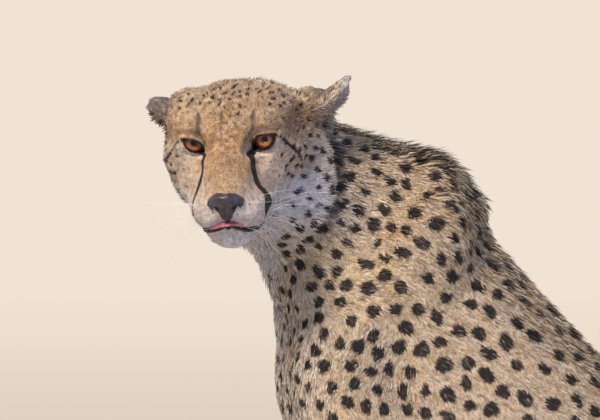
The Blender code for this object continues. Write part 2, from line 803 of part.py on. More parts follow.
def centre_on_floor(pieces):
    """Moves the origin below the middle of the whole model's box, onto the floor."""
    corners = [v.co for piece in pieces.values() for v in piece.data.vertices]
    middle = [(min(c[k] for c in corners) + max(c[k] for c in corners)) / 2 for k in range(2)]
    shift = Matrix.Translation((-middle[0], -middle[1], -SOLE_LEVEL))
    for piece in pieces.values():
        piece.data.transform(shift)
        piece.data.shade_smooth()


def main():
    clear_scene()
    home = new_collection("cheetah")
    scratch = new_collection("cutters")
    whole = whole_body(scratch)
    pieces = parted(whole, home, scratch)
    face_parts(pieces, home, scratch)
    for piece in pieces.values():
        flats_merged(piece.data)
    centre_on_floor(pieces)
    for helper in scratch.objects:
        helper.hide_render = True
        helper.display_type = "WIRE"


if __name__ == "__main__":
    main()
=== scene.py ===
import itertools
import math
import time

import bmesh
import bpy
import numpy as np
from mathutils import Matrix, Vector
from mathutils.bvhtree import BVHTree


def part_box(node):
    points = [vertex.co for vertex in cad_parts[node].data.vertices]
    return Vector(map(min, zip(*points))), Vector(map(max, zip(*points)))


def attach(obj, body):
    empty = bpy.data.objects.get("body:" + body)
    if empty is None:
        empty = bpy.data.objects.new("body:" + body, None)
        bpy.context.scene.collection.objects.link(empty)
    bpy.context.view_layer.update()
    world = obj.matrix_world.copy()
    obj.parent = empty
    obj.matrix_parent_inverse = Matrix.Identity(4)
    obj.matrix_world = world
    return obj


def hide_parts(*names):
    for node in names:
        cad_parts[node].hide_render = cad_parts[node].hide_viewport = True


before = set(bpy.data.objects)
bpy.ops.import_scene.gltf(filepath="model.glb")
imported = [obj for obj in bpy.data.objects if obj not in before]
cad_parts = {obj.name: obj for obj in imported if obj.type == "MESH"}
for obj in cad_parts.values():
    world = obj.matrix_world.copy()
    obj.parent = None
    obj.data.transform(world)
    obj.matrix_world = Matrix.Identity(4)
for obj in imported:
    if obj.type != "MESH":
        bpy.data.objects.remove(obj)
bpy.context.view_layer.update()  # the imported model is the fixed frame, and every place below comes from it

# A museum cheetah at life size: one skin over the whole body, a coat of solid tufts, glass eyes.
# Lengths are in metres, but the face is worked in centimetres in the head's own frame.

started = time.time()
dice = np.random.default_rng(7)
cm = 0.01
mm = 0.001
sides = (1, -1)  # left, right
flesh = [
    "head", "neck", "trunk", "ear_left", "ear_right",
    "foreleg_left", "foreleg_right", "forepaw_left", "forepaw_right",
    "hindleg_left", "hindleg_right", "hindfoot_left", "hindfoot_right",
    "tail_base", "tail_middle", "tail_tip",
]


def told(stage):
    print(f"{time.time() - started:6.1f} s  {stage}")


def middle(node):
    low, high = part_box(node)
    return (low + high) / 2


# The head's frame: X along the muzzle, Y to the animal's left, Z up, in centimetres.
headPose = {"yaw": -5, "nod": 15, "lean": 3, "eyeAhead": -0.75}
headTurn = (
    Matrix.Rotation(math.radians(headPose["yaw"]), 3, "Z")
    @ Matrix.Rotation(math.radians(headPose["nod"]), 3, "Y")
    @ Matrix.Rotation(math.radians(headPose["lean"]), 3, "X")
)
betweenEyes = (middle("eye_left") + middle("eye_right")) / 2
headPlace = betweenEyes - headTurn @ Vector((headPose["eyeAhead"] * cm, 0, 0))
headAxes = np.array(headTurn)
headOrigin = np.array(headPlace)


def toHead(points):
    return (np.asarray(points) - headOrigin) @ headAxes / cm


def fromHead(points):
    return np.asarray(points, float) * cm @ headAxes.T + headOrigin


# The body's frame, in metres: the middle plane between the hind feet is X = 0, and Y grows to the rear.
bodyPlace = {"aside": -0.0004, "heels": 0.452, "floor": -0.004}
leftFoot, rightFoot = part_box("hindfoot_left"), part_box("hindfoot_right")
bodyOrigin = np.array((
    (leftFoot[1].x + rightFoot[0].x) / 2 + bodyPlace["aside"],
    leftFoot[1].y - bodyPlace["heels"],
    bodyPlace["floor"],
))


def fromBody(points):
    return np.asarray(points, float) + bodyOrigin


# The camera has a long lens at the height of the head, square to the animal's left side.
cameraValues = {"place": (6.0, -0.0388, 0.7216), "wide": 0.5825, "focusAt": 0.12, "film": 36}
camera = bpy.data.objects.new("camera", bpy.data.cameras.new("camera"))
bpy.context.scene.collection.objects.link(camera)
camera.location = fromBody(cameraValues["place"])
camera.rotation_euler = (math.radians(90), 0, math.radians(90))
distance = cameraValues["place"][0] - cameraValues["focusAt"]
camera.data.lens = cameraValues["film"] * distance / cameraValues["wide"]
camera.data.clip_end = 100
bpy.context.scene.camera = camera
told("camera")


def tint(code):
    # an sRGB hex value as linear light
    parts = [int(code[i:i + 2], 16) / 255 for i in (1, 3, 5)]
    return [p / 12.92 if p <= 0.04045 else ((p + 0.055) / 1.055) ** 2.4 for p in parts] + [1.0]


def scaleOf(count):
    # a pattern's scale, from how many of its patches or pores lie side by side on 100 mm
    return count / (100 * mm)


def addNode(tree, kind, settings=None):
    # a setting is a property, an input's value or the output that feeds it, or the stops of a ramp;
    # inputs go by name, or by number where names repeat
    node = tree.nodes.new("ShaderNode" + kind)
    for name, value in (settings or {}).items():
        if name == "stops":
            stops = node.color_ramp.elements
            stops[0].position, stops[1].position = value[0][0], value[-1][0]
            for position, code in value[1:-1]:
                stops.new(position)
            for stop, (position, code) in zip(stops, value):
                stop.color = tint(code)
        elif isinstance(value, bpy.types.NodeSocket):
            tree.links.new(value, node.inputs[name])
        elif isinstance(name, str) and hasattr(node, name):
            setattr(node, name, value)
        else:
            node.inputs[name].default_value = value
    return node


def newMaterial(name, settings=None):
    made = bpy.data.materials.new(name)
    made.use_nodes = True
    shader = made.node_tree.nodes["Principled BSDF"]
    for socket, value in (settings or {}).items():
        shader.inputs[socket].default_value = value
    return made, made.node_tree, shader


def fade(distance, reach):
    # 1 at no distance, 0 at the reach and beyond
    t = np.clip(1 - distance / reach, 0, 1)
    return t * t * (3 - 2 * t)


def unit(vectors):
    return vectors / np.maximum(np.linalg.norm(vectors, axis=-1, keepdims=True), 1e-12)


def distanceTo(points, centre, radii=1):
    # to the middle of a ball or an ellipsoid, in its own radii
    return np.linalg.norm((points - np.asarray(centre, float)) / radii, axis=-1)


def distanceToLine(points, line):
    # to the nearest span of a line
    nearest = np.full(len(points), np.inf)
    for start, end in zip(np.asarray(line, float), np.asarray(line, float)[1:]):
        span = end - start
        share = np.clip((points - start) @ span / (span @ span), 0, 1)
        nearest = np.minimum(nearest, np.linalg.norm(points - start - share[:, None] * span, axis=1))
    return nearest


def mirrored(rows, side):
    # rows that start with a place or direction in the head's frame, on the side's own half of the head
    flipped = np.array(rows, float)
    flipped[..., 1] *= side
    return flipped


def newMesh(name, points, faces, smooth=True):
    mesh = bpy.data.meshes.new(name)
    mesh.from_pydata([tuple(p) for p in points], [], [tuple(f) for f in faces])
    mesh.update()
    if smooth:
        mesh.shade_smooth()
    made = bpy.data.objects.new(name, mesh)
    bpy.context.scene.collection.objects.link(made)
    return made


def meshPoints(mesh):
    found = np.empty(len(mesh.vertices) * 3)
    mesh.vertices.foreach_get("co", found)
    return found.reshape(-1, 3)


def setPoints(mesh, points):
    mesh.vertices.foreach_set("co", np.asarray(points, np.float32).ravel())
    mesh.update()


def meshNormals(mesh):
    found = np.empty(len(mesh.vertices) * 3, np.float32)
    mesh.vertex_normals.foreach_get("vector", found)
    return found.reshape(-1, 3).astype(float)


def keepValues(mesh, name, values):
    made = mesh.attributes.new(name, "FLOAT", "POINT")
    made.data.foreach_set("value", np.asarray(values, np.float32))


def hashed(seed, *numbers):
    # an even spread of numbers from 0 to 1 that depends only on what goes in
    total = seed * 12.9898
    for k, number in enumerate(numbers):
        total = total + number * (78.233 + 37.719 * k)
    return np.mod(np.sin(total) * 43758.5453, 1)


# How the coat grows. Each line follows the lie of the hair. A row is a point on it, then the hair's
# length in mm, how far it stands up in degrees, the spots' radius and spacing in mm, and shares of
# cream, grizzle and rust. The number before the rows says whether the line is mirrored.
headLines = {
    "bridge": (0, [
        (6.9, 0, -2.9, 2.2, 9, 0, 20, 0, 0.3, 0.4),
        (4.6, 0, -0.9, 3, 11, 0, 20, 0, 0.32, 0.85),
        (2.4, 0, 0.8, 3.5, 12, 0, 20, 0, 0.25, 0.85),
        (0, 0, 2.4, 4.5, 14, 1.6, 7.5, 0, 0.25, 0.6),
        (-2.6, 0, 3.9, 6, 20, 2.6, 8, 0, 0.45, 0.5),
        (-6.2, 0, 4.7, 8, 25, 2.9, 8.5, 0, 0.55, 0.4),
        (-10.2, 0.5, 3.9, 11, 26, 2.6, 9, 0, 0.6, 0),
        (-13.5, 1, 1.5, 14, 24, 4.2, 12, 0, 0.55, 0.1),
    ]),
    "brow": (1, [
        (4.8, 1.7, -2.4, 2.5, 9, 0, 20, 0, 0, 0.6),
        (2.6, 2.2, -0.9, 3, 11, 0, 20, 0, 0.1, 0.7),
        (0.6, 2.6, 1.8, 4, 13, 0, 20, 0, 0.15, 0.65),
        (-1.6, 3.6, 3.2, 5, 18, 2.2, 8, 0.1, 0.3, 0.5),
        (-5, 4.6, 3.5, 7.5, 23, 2.6, 8, 0.05, 0.45, 0.5),
        (-8, 5.2, 2.4, 9, 24, 2.4, 9, 0.1, 0.55, 0.2),
    ]),
    "cheek": (1, [
        (5.2, 2.1, -3.9, 2.6, 9, 0, 20, 0.2, 0.1, 0.45),
        (2.2, 3.6, -3, 3.5, 11, 0, 20, 0.3, 0.15, 0.35),
        (0.2, 4.9, -2.4, 4.5, 13, 2.5, 9, 0.25, 0.2, 0.35),
        (-3, 6, -2.2, 6, 17, 3.1, 9, 0.15, 0.3, 0.45),
        (-6.5, 7.2, -2.8, 9, 22, 3.9, 11, 0.6, 0.3, 0.1),
        (-9.5, 7.6, -3.9, 12, 28, 3.4, 12, 0.6, 0.5, 0),
    ]),
    "temple": (1, [
        (-1.6, 5.2, 0.6, 4.5, 13, 0, 20, 0.1, 0.25, 0.7),
        (-3.8, 6.2, 1.2, 6.5, 20, 2, 9, 0, 0.45, 0.9),
        (-6.8, 6.8, 0.8, 9, 24, 2.2, 10, 0, 0.7, 0.6),
        (-9.5, 7, -0.4, 12, 26, 2.8, 12, 0.1, 0.85, 0),
    ]),
    "lip": (1, [
        (6.9, 0.8, -5.7, 2, 9, 0, 20, 0.55, 0.2, 0.05),
        (5, 3.2, -5.6, 3, 12, 0, 20, 0.55, 0.2, 0.05),
        (2, 4.1, -5.8, 4.5, 14, 0, 20, 0.8, 0.1, 0),
        (-1.5, 5.6, -5.9, 8, 19, 3.4, 10, 1, 0.05, 0),
        (-5.5, 6.8, -6.8, 12, 25, 3.4, 14, 1, 0.05, 0),
        (-9, 7.2, -7.8, 14, 27, 3.4, 15, 0.85, 0.35, 0),
    ]),
    "chin": (0, [
        (6.6, 0, -7.6, 2.5, 12, 0, 20, 1, 0, 0),
        (4.4, 0, -9.2, 5, 20, 0, 20, 1, 0, 0),
        (0.5, 0, -9.9, 9, 24, 0, 20, 1, 0.12, 0),
        (-4, 0.8, -10.6, 14, 26, 0, 30, 1, 0.2, 0),
        (-8, 1.5, -11.6, 15, 25, 0, 30, 1, 0.3, 0),
    ]),
    "earLeft": (0, [
        (-7.6, 7.4, 1.3, 5.5, 14, 0, 20, 0.3, 0.4, 0),
        (-8.6, 9.4, 2.3, 4.5, 12, 0, 20, 0.3, 0.3, 0.2),
        (-9.4, 11.8, 3.4, 4, 12, 0, 20, 0.4, 0.2, 0.1),
    ]),
    "earRight": (0, [
        (-7.6, -4.4, 1.9, 5.5, 14, 0, 20, 0.2, 0.4, 0),
        (-8.9, -6.6, 1.9, 4.5, 12, 0, 20, 0.3, 0.5, 0),
        (-10.2, -8.8, 1.8, 4, 12, 0, 20, 0.4, 0.4, 0),
    ]),
}
bodyLines = {
    "back": (0, [
        (0.04, -0.04, 0.818, 16, 27, 4.8, 12, 0, 0.75, 0.1),
        (0.014, 0.012, 0.802, 19, 34, 7, 13.5, 0, 0.6, 0.35),
        (0.003, 0.056, 0.787, 23, 37, 9, 15, 0, 0.55, 0.45),
        (0, 0.098, 0.762, 22, 36, 9, 16.4, 0, 0.55, 0.4),
        (0, 0.13, 0.716, 16, 29, 7.6, 18, 0, 0.45, 0.2),
        (0, 0.192, 0.646, 13, 22, 6.6, 19.7, 0, 0.35, 0.1),
        (0, 0.308, 0.527, 11.8, 18, 7, 21.3, 0.06, 0.25, 0.1),
        (0, 0.436, 0.377, 11.8, 16, 7, 21.3, 0.06, 0.25, 0.1),
        (0, 0.52, 0.195, 11.8, 18, 6.4, 20.5, 0.06, 0.25, 0),
        (0, 0.565, 0.078, 11.8, 20, 6.2, 18.9, 0.06, 0.25, 0),
        (0.012, 0.6, 0.048, 11.8, 20, 6.2, 18.9, 0.06, 0.2, 0),
        (0.052, 0.668, 0.04, 13, 20, 6.4, 21.3, 0.16, 0.1, 0),
        (0.125, 0.718, 0.04, 12, 20, 6.4, 23, 0.16, 0.1, 0),
        (0.215, 0.73, 0.04, 13, 22, 0, 28, 0.3, 0, 0),
        (0.3, 0.692, 0.04, 15, 24, 0, 28, 0.4, 0, 0),
        (0.358, 0.622, 0.04, 18, 26, 0, 28, 0.4, 0, 0),
        (0.385, 0.54, 0.04, 20, 26, 0, 28, 0.6, 0, 0),
        (0.389, 0.475, 0.034, 22, 24, 0, 28, 1, 0, 0),
    ]),
    "throat": (0, [
        (0.07, -0.12, 0.69, 15, 24, 0, 24, 1, 0.2, 0),
        (0.02, -0.085, 0.655, 12, 21, 3, 14, 1, 0.1, 0),
        (0, -0.066, 0.6, 9.5, 16, 4.2, 15, 0.65, 0, 0),
        (0, -0.068, 0.54, 9, 15, 4.6, 16.5, 0.6, 0, 0),
        (0, -0.04, 0.46, 10.6, 18, 4.4, 19.7, 0.6, 0, 0),
        (0, 0.06, 0.4, 11.8, 20, 0, 30, 0.9, 0, 0),
        (0, 0.16, 0.315, 12, 22, 0, 30, 1, 0, 0),
        (0, 0.3, 0.22, 13, 22, 0, 30, 1, 0, 0),
        (0, 0.42, 0.12, 12, 22, 0, 30, 0.9, 0, 0),
    ]),
    "nape": (1, [
        (0.09, -0.085, 0.775, 9.5, 16, 4.6, 11.4, 0, 0.55, 0),
        (0.07, -0.02, 0.77, 9.5, 16, 5.2, 13.2, 0.06, 0.25, 0.1),
        (0.06, 0.045, 0.745, 10.5, 18, 6.4, 16, 0.06, 0.15, 0.2),
        (0.06, 0.105, 0.69, 11.5, 16, 6.6, 18.4, 0.06, 0.05, 0.15),
    ]),
    "flank": (1, [
        (0.085, -0.075, 0.725, 9.5, 15, 4.3, 11.4, 0.1, 0.35, 0),
        (0.085, -0.04, 0.69, 8.6, 13, 4.8, 12.6, 0.05, 0.1, 0.1),
        (0.098, 0, 0.66, 8.6, 13, 6.4, 16, 0.06, 0, 0.1),
        (0.106, 0.06, 0.64, 8.6, 13, 6.9, 18.6, 0.06, 0, 0.05),
        (0.112, 0.12, 0.59, 8.8, 13, 7, 19.7, 0.11, 0.05, 0.1),
        (0.114, 0.22, 0.48, 8.8, 13, 7.3, 21.3, 0.16, 0, 0.1),
        (0.11, 0.32, 0.38, 9.4, 13, 7.3, 21.3, 0.16, 0, 0.1),
        (0.104, 0.43, 0.29, 9.4, 14, 7, 21.3, 0.11, 0.1, 0.1),
        (0.096, 0.5, 0.17, 10.6, 16, 6.4, 20.5, 0.16, 0.1, 0.1),
        (0.08, 0.53, 0.08, 10.6, 16, 6.2, 19.7, 0.36, 0.1, 0),
    ]),
    "ribs": (1, [
        (0.085, 0.01, 0.48, 8.3, 14, 5.7, 17.2, 0.41, 0, 0.05),
        (0.092, 0.12, 0.44, 8.8, 14, 6.4, 19.7, 0.36, 0, 0.05),
        (0.088, 0.22, 0.35, 9.4, 16, 6.3, 20.5, 0.51, 0, 0.05),
        (0.08, 0.3, 0.27, 10.6, 18, 5.4, 22.1, 0.7, 0, 0),
    ]),
    "chest": (1, [
        (0.07, -0.06, 0.64, 8.6, 14, 4.5, 12.8, 0.25, 0.05, 0),
        (0.075, -0.05, 0.58, 8.6, 14, 5.2, 15.6, 0.41, 0, 0),
        (0.072, -0.04, 0.5, 8.8, 14, 5.2, 17, 0.5, 0, 0),
    ]),
    "foreleg": (1, [
        (0.106, 0.04, 0.6, 8.8, 13, 6.6, 18, 0.12, 0, 0.1),
        (0.112, 0.01, 0.54, 8.3, 12, 6.4, 18, 0.12, 0, 0.1),
        (0.112, 0.045, 0.45, 7.7, 12, 6.3, 17.2, 0.17, 0, 0.1),
        (0.102, 0.03, 0.34, 6.5, 11, 5.4, 14.8, 0.23, 0, 0.05),
        (0.09, 0.01, 0.24, 5.9, 11, 4.4, 13.1, 0.19, 0, 0.05),
        (0.086, -0.004, 0.15, 5.3, 11, 3.5, 11.5, 0.22, 0, 0),
        (0.084, -0.012, 0.09, 5.3, 11, 3.1, 10.7, 0.28, 0, 0),
        (0.064, -0.05, 0.05, 4, 11, 2.5, 9.8, 0.33, 0, 0),
        (0.062, -0.095, 0.024, 3.5, 11, 0, 20, 0.33, 0, 0),
    ]),
    "innerLeg": (1, [
        (0.05, 0.04, 0.43, 8.8, 14, 0, 22, 0.63, 0, 0),
        (0.046, 0.025, 0.34, 7.1, 11, 3.5, 18, 0.49, 0, 0),
        (0.042, 0, 0.2, 5.9, 11, 3.1, 14.8, 0.42, 0, 0),
        (0.04, -0.012, 0.09, 4, 11, 2.7, 12.3, 0.42, 0, 0),
    ]),
    "thigh": (1, [
        (0.136, 0.43, 0.3, 9.4, 14, 6.7, 19.7, 0.09, 0.05, 0.1),
        (0.142, 0.34, 0.29, 8.8, 13, 6.7, 19.7, 0.12, 0, 0.1),
        (0.148, 0.255, 0.235, 8.3, 13, 6.3, 17.2, 0.18, 0, 0.1),
        (0.15, 0.29, 0.16, 7.7, 13, 6, 16.4, 0.21, 0, 0.1),
        (0.142, 0.36, 0.105, 7.1, 13, 4.9, 14.8, 0.24, 0, 0),
        (0.124, 0.425, 0.055, 5.9, 11, 3.5, 12.3, 0.3, 0, 0),
    ]),
    "hindfoot": (1, [
        (0.108, 0.44, 0.045, 5.9, 11, 3.1, 11.5, 0.33, 0, 0),
        (0.108, 0.37, 0.046, 5.3, 11, 3.1, 11.5, 0.33, 0, 0),
        (0.11, 0.29, 0.047, 5.3, 11, 2.9, 10.7, 0.33, 0, 0),
        (0.113, 0.2, 0.044, 4, 11, 2.5, 9.8, 0.39, 0, 0),
        (0.113, 0.145, 0.025, 3.5, 11, 0, 20, 0.39, 0, 0),
    ]),
}
coatValues = ("length", "lift", "spot", "gap", "cream", "grizzle", "rust")
lineStep = 0.014
lineSpread = 0.006  # nearer than this a line counts no more


def chartedLines():
    # the lines as close samples: place, direction and the row's values
    places, ways, values = [], [], []
    for settle, across, lines in ((fromHead, 1, headLines), (fromBody, 0, bodyLines)):
        for paired, rows in lines.values():
            for side in sides if paired else (1,):
                table = np.array(rows, float)
                table[:, across] *= side
                points = settle(table[:, :3])
                for k in range(len(points) - 1):
                    span = points[k + 1] - points[k]
                    steps = max(1, int(np.linalg.norm(span) / lineStep))
                    for step in range(steps):
                        share = (step + 0.5) / steps
                        places.append(points[k] + share * span)
                        ways.append(span / np.linalg.norm(span))
                        values.append(table[k, 3:] * (1 - share) + table[k + 1, 3:] * share)
    return np.array(places), np.array(ways), np.array(values)


linePlaces, lineWays, lineValues = chartedLines()


def coatAt(points):
    # the coat's values and its lie at each point, from the lines near it
    found = np.empty((len(points), lineValues.shape[1]))
    ways = np.empty((len(points), 3))
    batch = 20000
    for first in range(0, len(points), batch):
        some = points[first:first + batch]
        square = (
            (some ** 2).sum(1)[:, None] + (linePlaces ** 2).sum(1)[None] - 2 * some @ linePlaces.T
        )
        weight = 1 / (np.maximum(square, 0) + lineSpread ** 2) ** 2.5
        weight /= weight.sum(1, keepdims=True)
        found[first:first + batch] = weight @ lineValues
        ways[first:first + batch] = weight @ lineWays
    return dict(zip(coatValues, found.T)), unit(ways)

skinValues = {
    "voxel": 0.0036,
    "overlap": 0.0005,  # closes the thin cuts between the solids
    "fine": [((2.0, 0, -2.6), (7.5, 6.4, 7.2))],  # where the mesh is finer: place and radii
    "finer": [((0.5, 3.5, 0), 2.3), ((0.5, -3.5, 0), 2.3), ((6.3, 0, -5.6), 3.0)],
    "front": ((1.5, 0, -2.5), (9, 8, 8.5)),
    "smoothing": 16,
    "facePasses": 6,
    "spared": {"face": 0.55, "ear": 0.8, "paw": 0.75},  # how much less the smoothing takes off these
    "sink": 0.62,  # share of the standing height of the hair by which the skin lies inside the solids
    "depths": (0.6, 9),  # the least and most of it, in mm
    "earLength": 5.8,
    "floor": 0.0006,
    "lipGroove": (0.34, 0.30, (1.0, 0, -6.0)),  # reach, depth and the point it is drawn towards
    "ruffGroove": (1.9, 1.5, (-8.0, 0, -5.0)),
}


def solidOf(node, swell):
    # a solid's points, moved out by the swell, and its faces
    bm = bmesh.new()
    bm.from_mesh(bpy.data.objects[node].data)
    bmesh.ops.remove_doubles(bm, verts=bm.verts, dist=1e-6)
    bm.normal_update()
    bm.verts.index_update()
    points = [v.co + v.normal * swell for v in bm.verts]
    faces = [[v.index for v in f.verts] for f in bm.faces]
    bm.free()
    return points, faces


def joined(parts):
    # several sets of points and faces as one
    points, faces = [], []
    for more, sheets in parts:
        faces += [[len(points) + i for i in sheet] for sheet in sheets]
        points += list(more)
    return points, faces


def voxelled(name, shape, voxel):
    # one closed mesh round everything in the shape
    made = newMesh(name, *shape)
    remesh = made.modifiers.new("remesh", "REMESH")
    remesh.mode, remesh.voxel_size, remesh.use_smooth_shade = "VOXEL", voxel, True
    made.data = bpy.data.meshes.new_from_object(made.evaluated_get(bpy.context.evaluated_depsgraph_get()))
    made.modifiers.clear()
    return made


def castSkin():
    # all solids of flesh in one closed mesh, with eyes and nose as filling
    solids = [solidOf(node, skinValues["overlap"]) for node in flesh]
    solids += [solidOf(node, 0) for node in ("eye_left", "eye_right", "nose")]
    return voxelled("skin", joined(solids), skinValues["voxel"])


def edgesOf(mesh):
    found = np.empty(len(mesh.edges) * 2, np.int32)
    mesh.edges.foreach_get("vertices", found)
    return found.reshape(-1, 2)


def relaxed(points, edges, amount, passes):
    # each point moves towards its neighbours' mean, then back out, so that nothing shrinks
    count = np.bincount(edges.ravel(), minlength=len(points))[:, None]
    amount = np.broadcast_to(np.asarray(amount, float).reshape(-1, 1), (len(points), 1))
    for k in range(passes):
        for push in (0.6, -0.62):
            total = np.empty_like(points)
            for axis in range(3):
                column = points[:, axis]
                total[:, axis] = np.bincount(edges[:, 0], column[edges[:, 1]], len(points))
                total[:, axis] += np.bincount(edges[:, 1], column[edges[:, 0]], len(points))
            points = points + push * amount * (total / count - points)
    return points


def refine(mesh, wanted):
    # halves the edges of the faces whose middle is wanted
    bm = bmesh.new()
    bm.from_mesh(mesh)
    centres = np.array([f.calc_center_median() for f in bm.faces])
    keep = wanted(toHead(centres))
    bm.faces.ensure_lookup_table()
    chosen = {edge for face, good in zip(bm.faces, keep) if good for edge in face.edges}
    bmesh.ops.subdivide_edges(bm, edges=list(chosen), cuts=1, use_grid_fill=True)
    many = [face for face in bm.faces if len(face.verts) > 4]
    bmesh.ops.triangulate(bm, faces=many)
    bm.to_mesh(mesh)
    bm.free()


skin = castSkin()
told(f"skin cast, {len(skin.data.polygons)} faces")

# each ear: its root and the direction of its length, in head centimetres
ears = {
    "left": ((-7.6, 6.6, 1.0), unit(np.array((-0.30, 0.87, 0.40)))),
    "right": ((-7.2, -3.6, 1.9), unit(np.array((-0.50, -0.86, -0.02)))),
}
mouthLine = [
    (0.6, 3.5, -7.2), (3.0, 3.1, -7.25), (5.4, 1.9, -6.85), (6.6, 0, -6.5),
    (5.4, -1.9, -6.85), (3.0, -3.1, -7.25), (0.6, -3.5, -7.2),
]
# where the ruff ends and lies over the neck
collarLine = [(-7.8, 8.6, 0.2), (-8.4, 9.4, -3.5), (-6.8, 9.2, -5.7), (-5.7, 8.6, -8.3), (-5.3, 7.5, -9.7)]
# where, how wide, which way and how far the face is pushed, for the left side and mirrored
faceMoves = [
    ((0.6, 2.2, -0.6), (2.0, 1.1, 1.6), (-1, 0.2, 0), 0.10),  # hollow beside the bridge
    ((0.8, 3.4, 1.45), (1.6, 2.2, 0.9), (1, 0, -0.2), 0.28),  # brow over the lid
    ((0.6, 4.2, -1.7), (1.6, 1.8, 0.8), (1, 0.3, 0), 0.15),  # under the eye
    ((6.2, 1.7, -5.6), (2.0, 1.5, 1.3), (1, 0.4, 0), 0.25),  # whisker pad
    ((6.9, 0, -6.1), (1.6, 0.35, 0.9), (-1, 0, 0), 0.35),  # groove under the nose
    ((5.6, 0, -7.6), (1.6, 1.6, 0.9), (1, 0, 0), 0.2),  # chin
]


def grooved(local, line, reach, deep, heart):
    # draws the surface in along a line, towards a point inside
    share = fade(distanceToLine(local, line), reach) * deep
    return local + share[:, None] * unit(np.array(heart) - local)


def pushed(local, moves):
    for place, radii, way, amount in moves:
        for side in sides if place[1] else (1,):
            share = fade(distanceTo(local, mirrored(place, side), radii), 1)
            local = local + share[:, None] * mirrored(way, side) * amount
    return local


def shapeSkin():
    mesh = skin.data
    for balls in (skinValues["fine"], skinValues["finer"]):
        refine(mesh, lambda local: np.min([distanceTo(local, *ball) for ball in balls], axis=0) < 1)
    edges = edgesOf(mesh)
    points = meshPoints(mesh)
    level = points[:, 2] < 2 * skinValues["floor"]  # what stands on the floor
    local = toHead(points)
    front = fade(distanceTo(local, *skinValues["front"]), 1) > 0.02
    onEar = np.zeros(len(points))
    for root, lengthwise in ears.values():
        line = (root, np.add(root, np.multiply(skinValues["earLength"], lengthwise)))
        onEar = np.maximum(onEar, fade(distanceToLine(local, line), 3.6))
    onPaw = fade(np.maximum(points[:, 2] - 0.02, 0), 0.06)
    spared = skinValues["spared"]
    soft = 1 - spared["face"] * front - spared["ear"] * np.minimum(onEar * 2, 1) - spared["paw"] * onPaw
    points = relaxed(points, edges, np.clip(soft, 0.12, 1), skinValues["smoothing"])
    points = relaxed(points, edges, np.where(front, 0.8, 0.1), skinValues["facePasses"])
    setPoints(mesh, points)

    values = coatAt(points)[0]
    stands = values["length"] * np.sin(np.radians(values["lift"])) * mm
    least, most = np.multiply(skinValues["depths"], mm)
    depth = np.clip(stands * skinValues["sink"], least, most)
    depth = depth * (1 - 0.7 * np.minimum(onEar * 1.6, 1))
    points = points - meshNormals(mesh) * depth[:, None]
    points = relaxed(points, edges, 0.5, 2)

    local = pushed(toHead(points), faceMoves)
    local = grooved(local, mouthLine, *skinValues["lipGroove"])
    for side in sides:
        local = grooved(local, mirrored(collarLine, side), *skinValues["ruffGroove"])
    for side in sides:
        local = lidded(local, side)
    points = fromHead(local)
    points[level, 2] = skinValues["floor"]
    points[:, 2] = np.maximum(points[:, 2], skinValues["floor"])
    setPoints(mesh, points)


# Eyes and lids are worked in each eye's own axes, in centimetres.
eyeValues = {
    "radius": 1.62,
    "iris": 0.98,
    "pupil": 0.27,
    "gaze": {1: (-0.10, -0.02), -1: (-0.20, -0.03)},  # outward and up, in centimetres at the iris
    # the bowl the iris is painted in: how far behind its edge, and the radius as a share of the iris
    "bowl": [(0.03, 1), (0.06, 0.92), (0.10, 0.7), (0.13, 0.5)],
    # then the pupil: how far behind, and the radius as a share of the pupil
    "well": [(0.14, 1.08), (0.16, 1), (0.30, 0.96), (0.42, 0.6)],
    "wellDepth": 0.44,
    "dome": (1.12, 0.16),  # the cornea's radius as a share of the iris, and its height
    "lid": 0.10,  # how far the lids stand before the ball
    "lidFold": 0.07,
    "lidReach": 0.80,
    "under": 0.45,  # how far the skin drops behind the ball inside the opening
    "turn": 0.78,  # the share of the ball's radius from which the lids run straight on
    "climb": 0.85,
    "rim": 0.06,
    "upperRim": 0.055,
    "rimOut": 0.03,
    "upperOut": 0.05,
}
# the opening between the lids of each eye, outward and up from the middle of the eye
almonds = {
    1: [
        (-1.34, -1.04), (-1.22, -0.42), (-0.90, 0.12), (-0.62, 0.38), (-0.05, 0.44), (0.62, 0.44),
        (1.08, 0.42), (0.98, -0.05), (0.60, -0.68), (-0.10, -1.02), (-0.95, -1.06),
    ],
    -1: [
        (-1.10, -0.98), (-1.02, -0.45), (-0.76, -0.05), (-0.30, 0.22), (0.20, 0.37), (0.62, 0.42),
        (1.00, 0.42), (0.86, 0.12), (0.56, -0.44), (0.02, -0.84), (-0.60, -0.98),
    ],
}


def curveThrough(points, steps, closed=False):
    # a smooth curve through all points
    points = np.asarray(points, float)
    count = len(points)
    found = []
    for k in range(count if closed else count - 1):
        near = (k - 1, k, k + 1, k + 2)
        a, b, c, d = (points[i % count if closed else min(max(i, 0), count - 1)] for i in near)
        for step in range(steps):
            t = step / steps
            found.append(0.5 * (
                2 * b + t * (c - a) + t * t * (2 * a - 5 * b + 4 * c - d) + t ** 3 * (3 * b - a - 3 * c + d)
            ))
    if not closed:
        found.append(points[-1])
    return np.array(found)


lidCurves = {side: curveThrough(almonds[side], 6, closed=True) for side in sides}


def outsideOf(curve, flat):
    # signed distance from a closed curve in the plane, below 0 inside
    least = np.full(len(flat), 1e9)
    inside = np.zeros(len(flat), bool)
    for a, b in zip(curve, np.roll(curve, -1, axis=0)):
        least = np.minimum(least, distanceToLine(flat, (a, b)))
        crosses = (a[1] > flat[:, 1]) != (b[1] > flat[:, 1])
        rise = np.where(abs(b[1] - a[1]) < 1e-9, 1e-9, b[1] - a[1])
        inside ^= crosses & (flat[:, 0] < (b[0] - a[0]) * (flat[:, 1] - a[1]) / rise + a[0])
    return np.where(inside, -least, least)


def eyeAxes(side):
    # rows: outward, up and towards the front, level in the room when the head hangs as it does
    nod = math.radians(headPose["nod"])
    front = np.array((math.cos(nod), 0, math.sin(nod)))
    up = np.array((-math.sin(nod), 0, math.cos(nod)))
    return np.array(((0, side, 0), up, front))


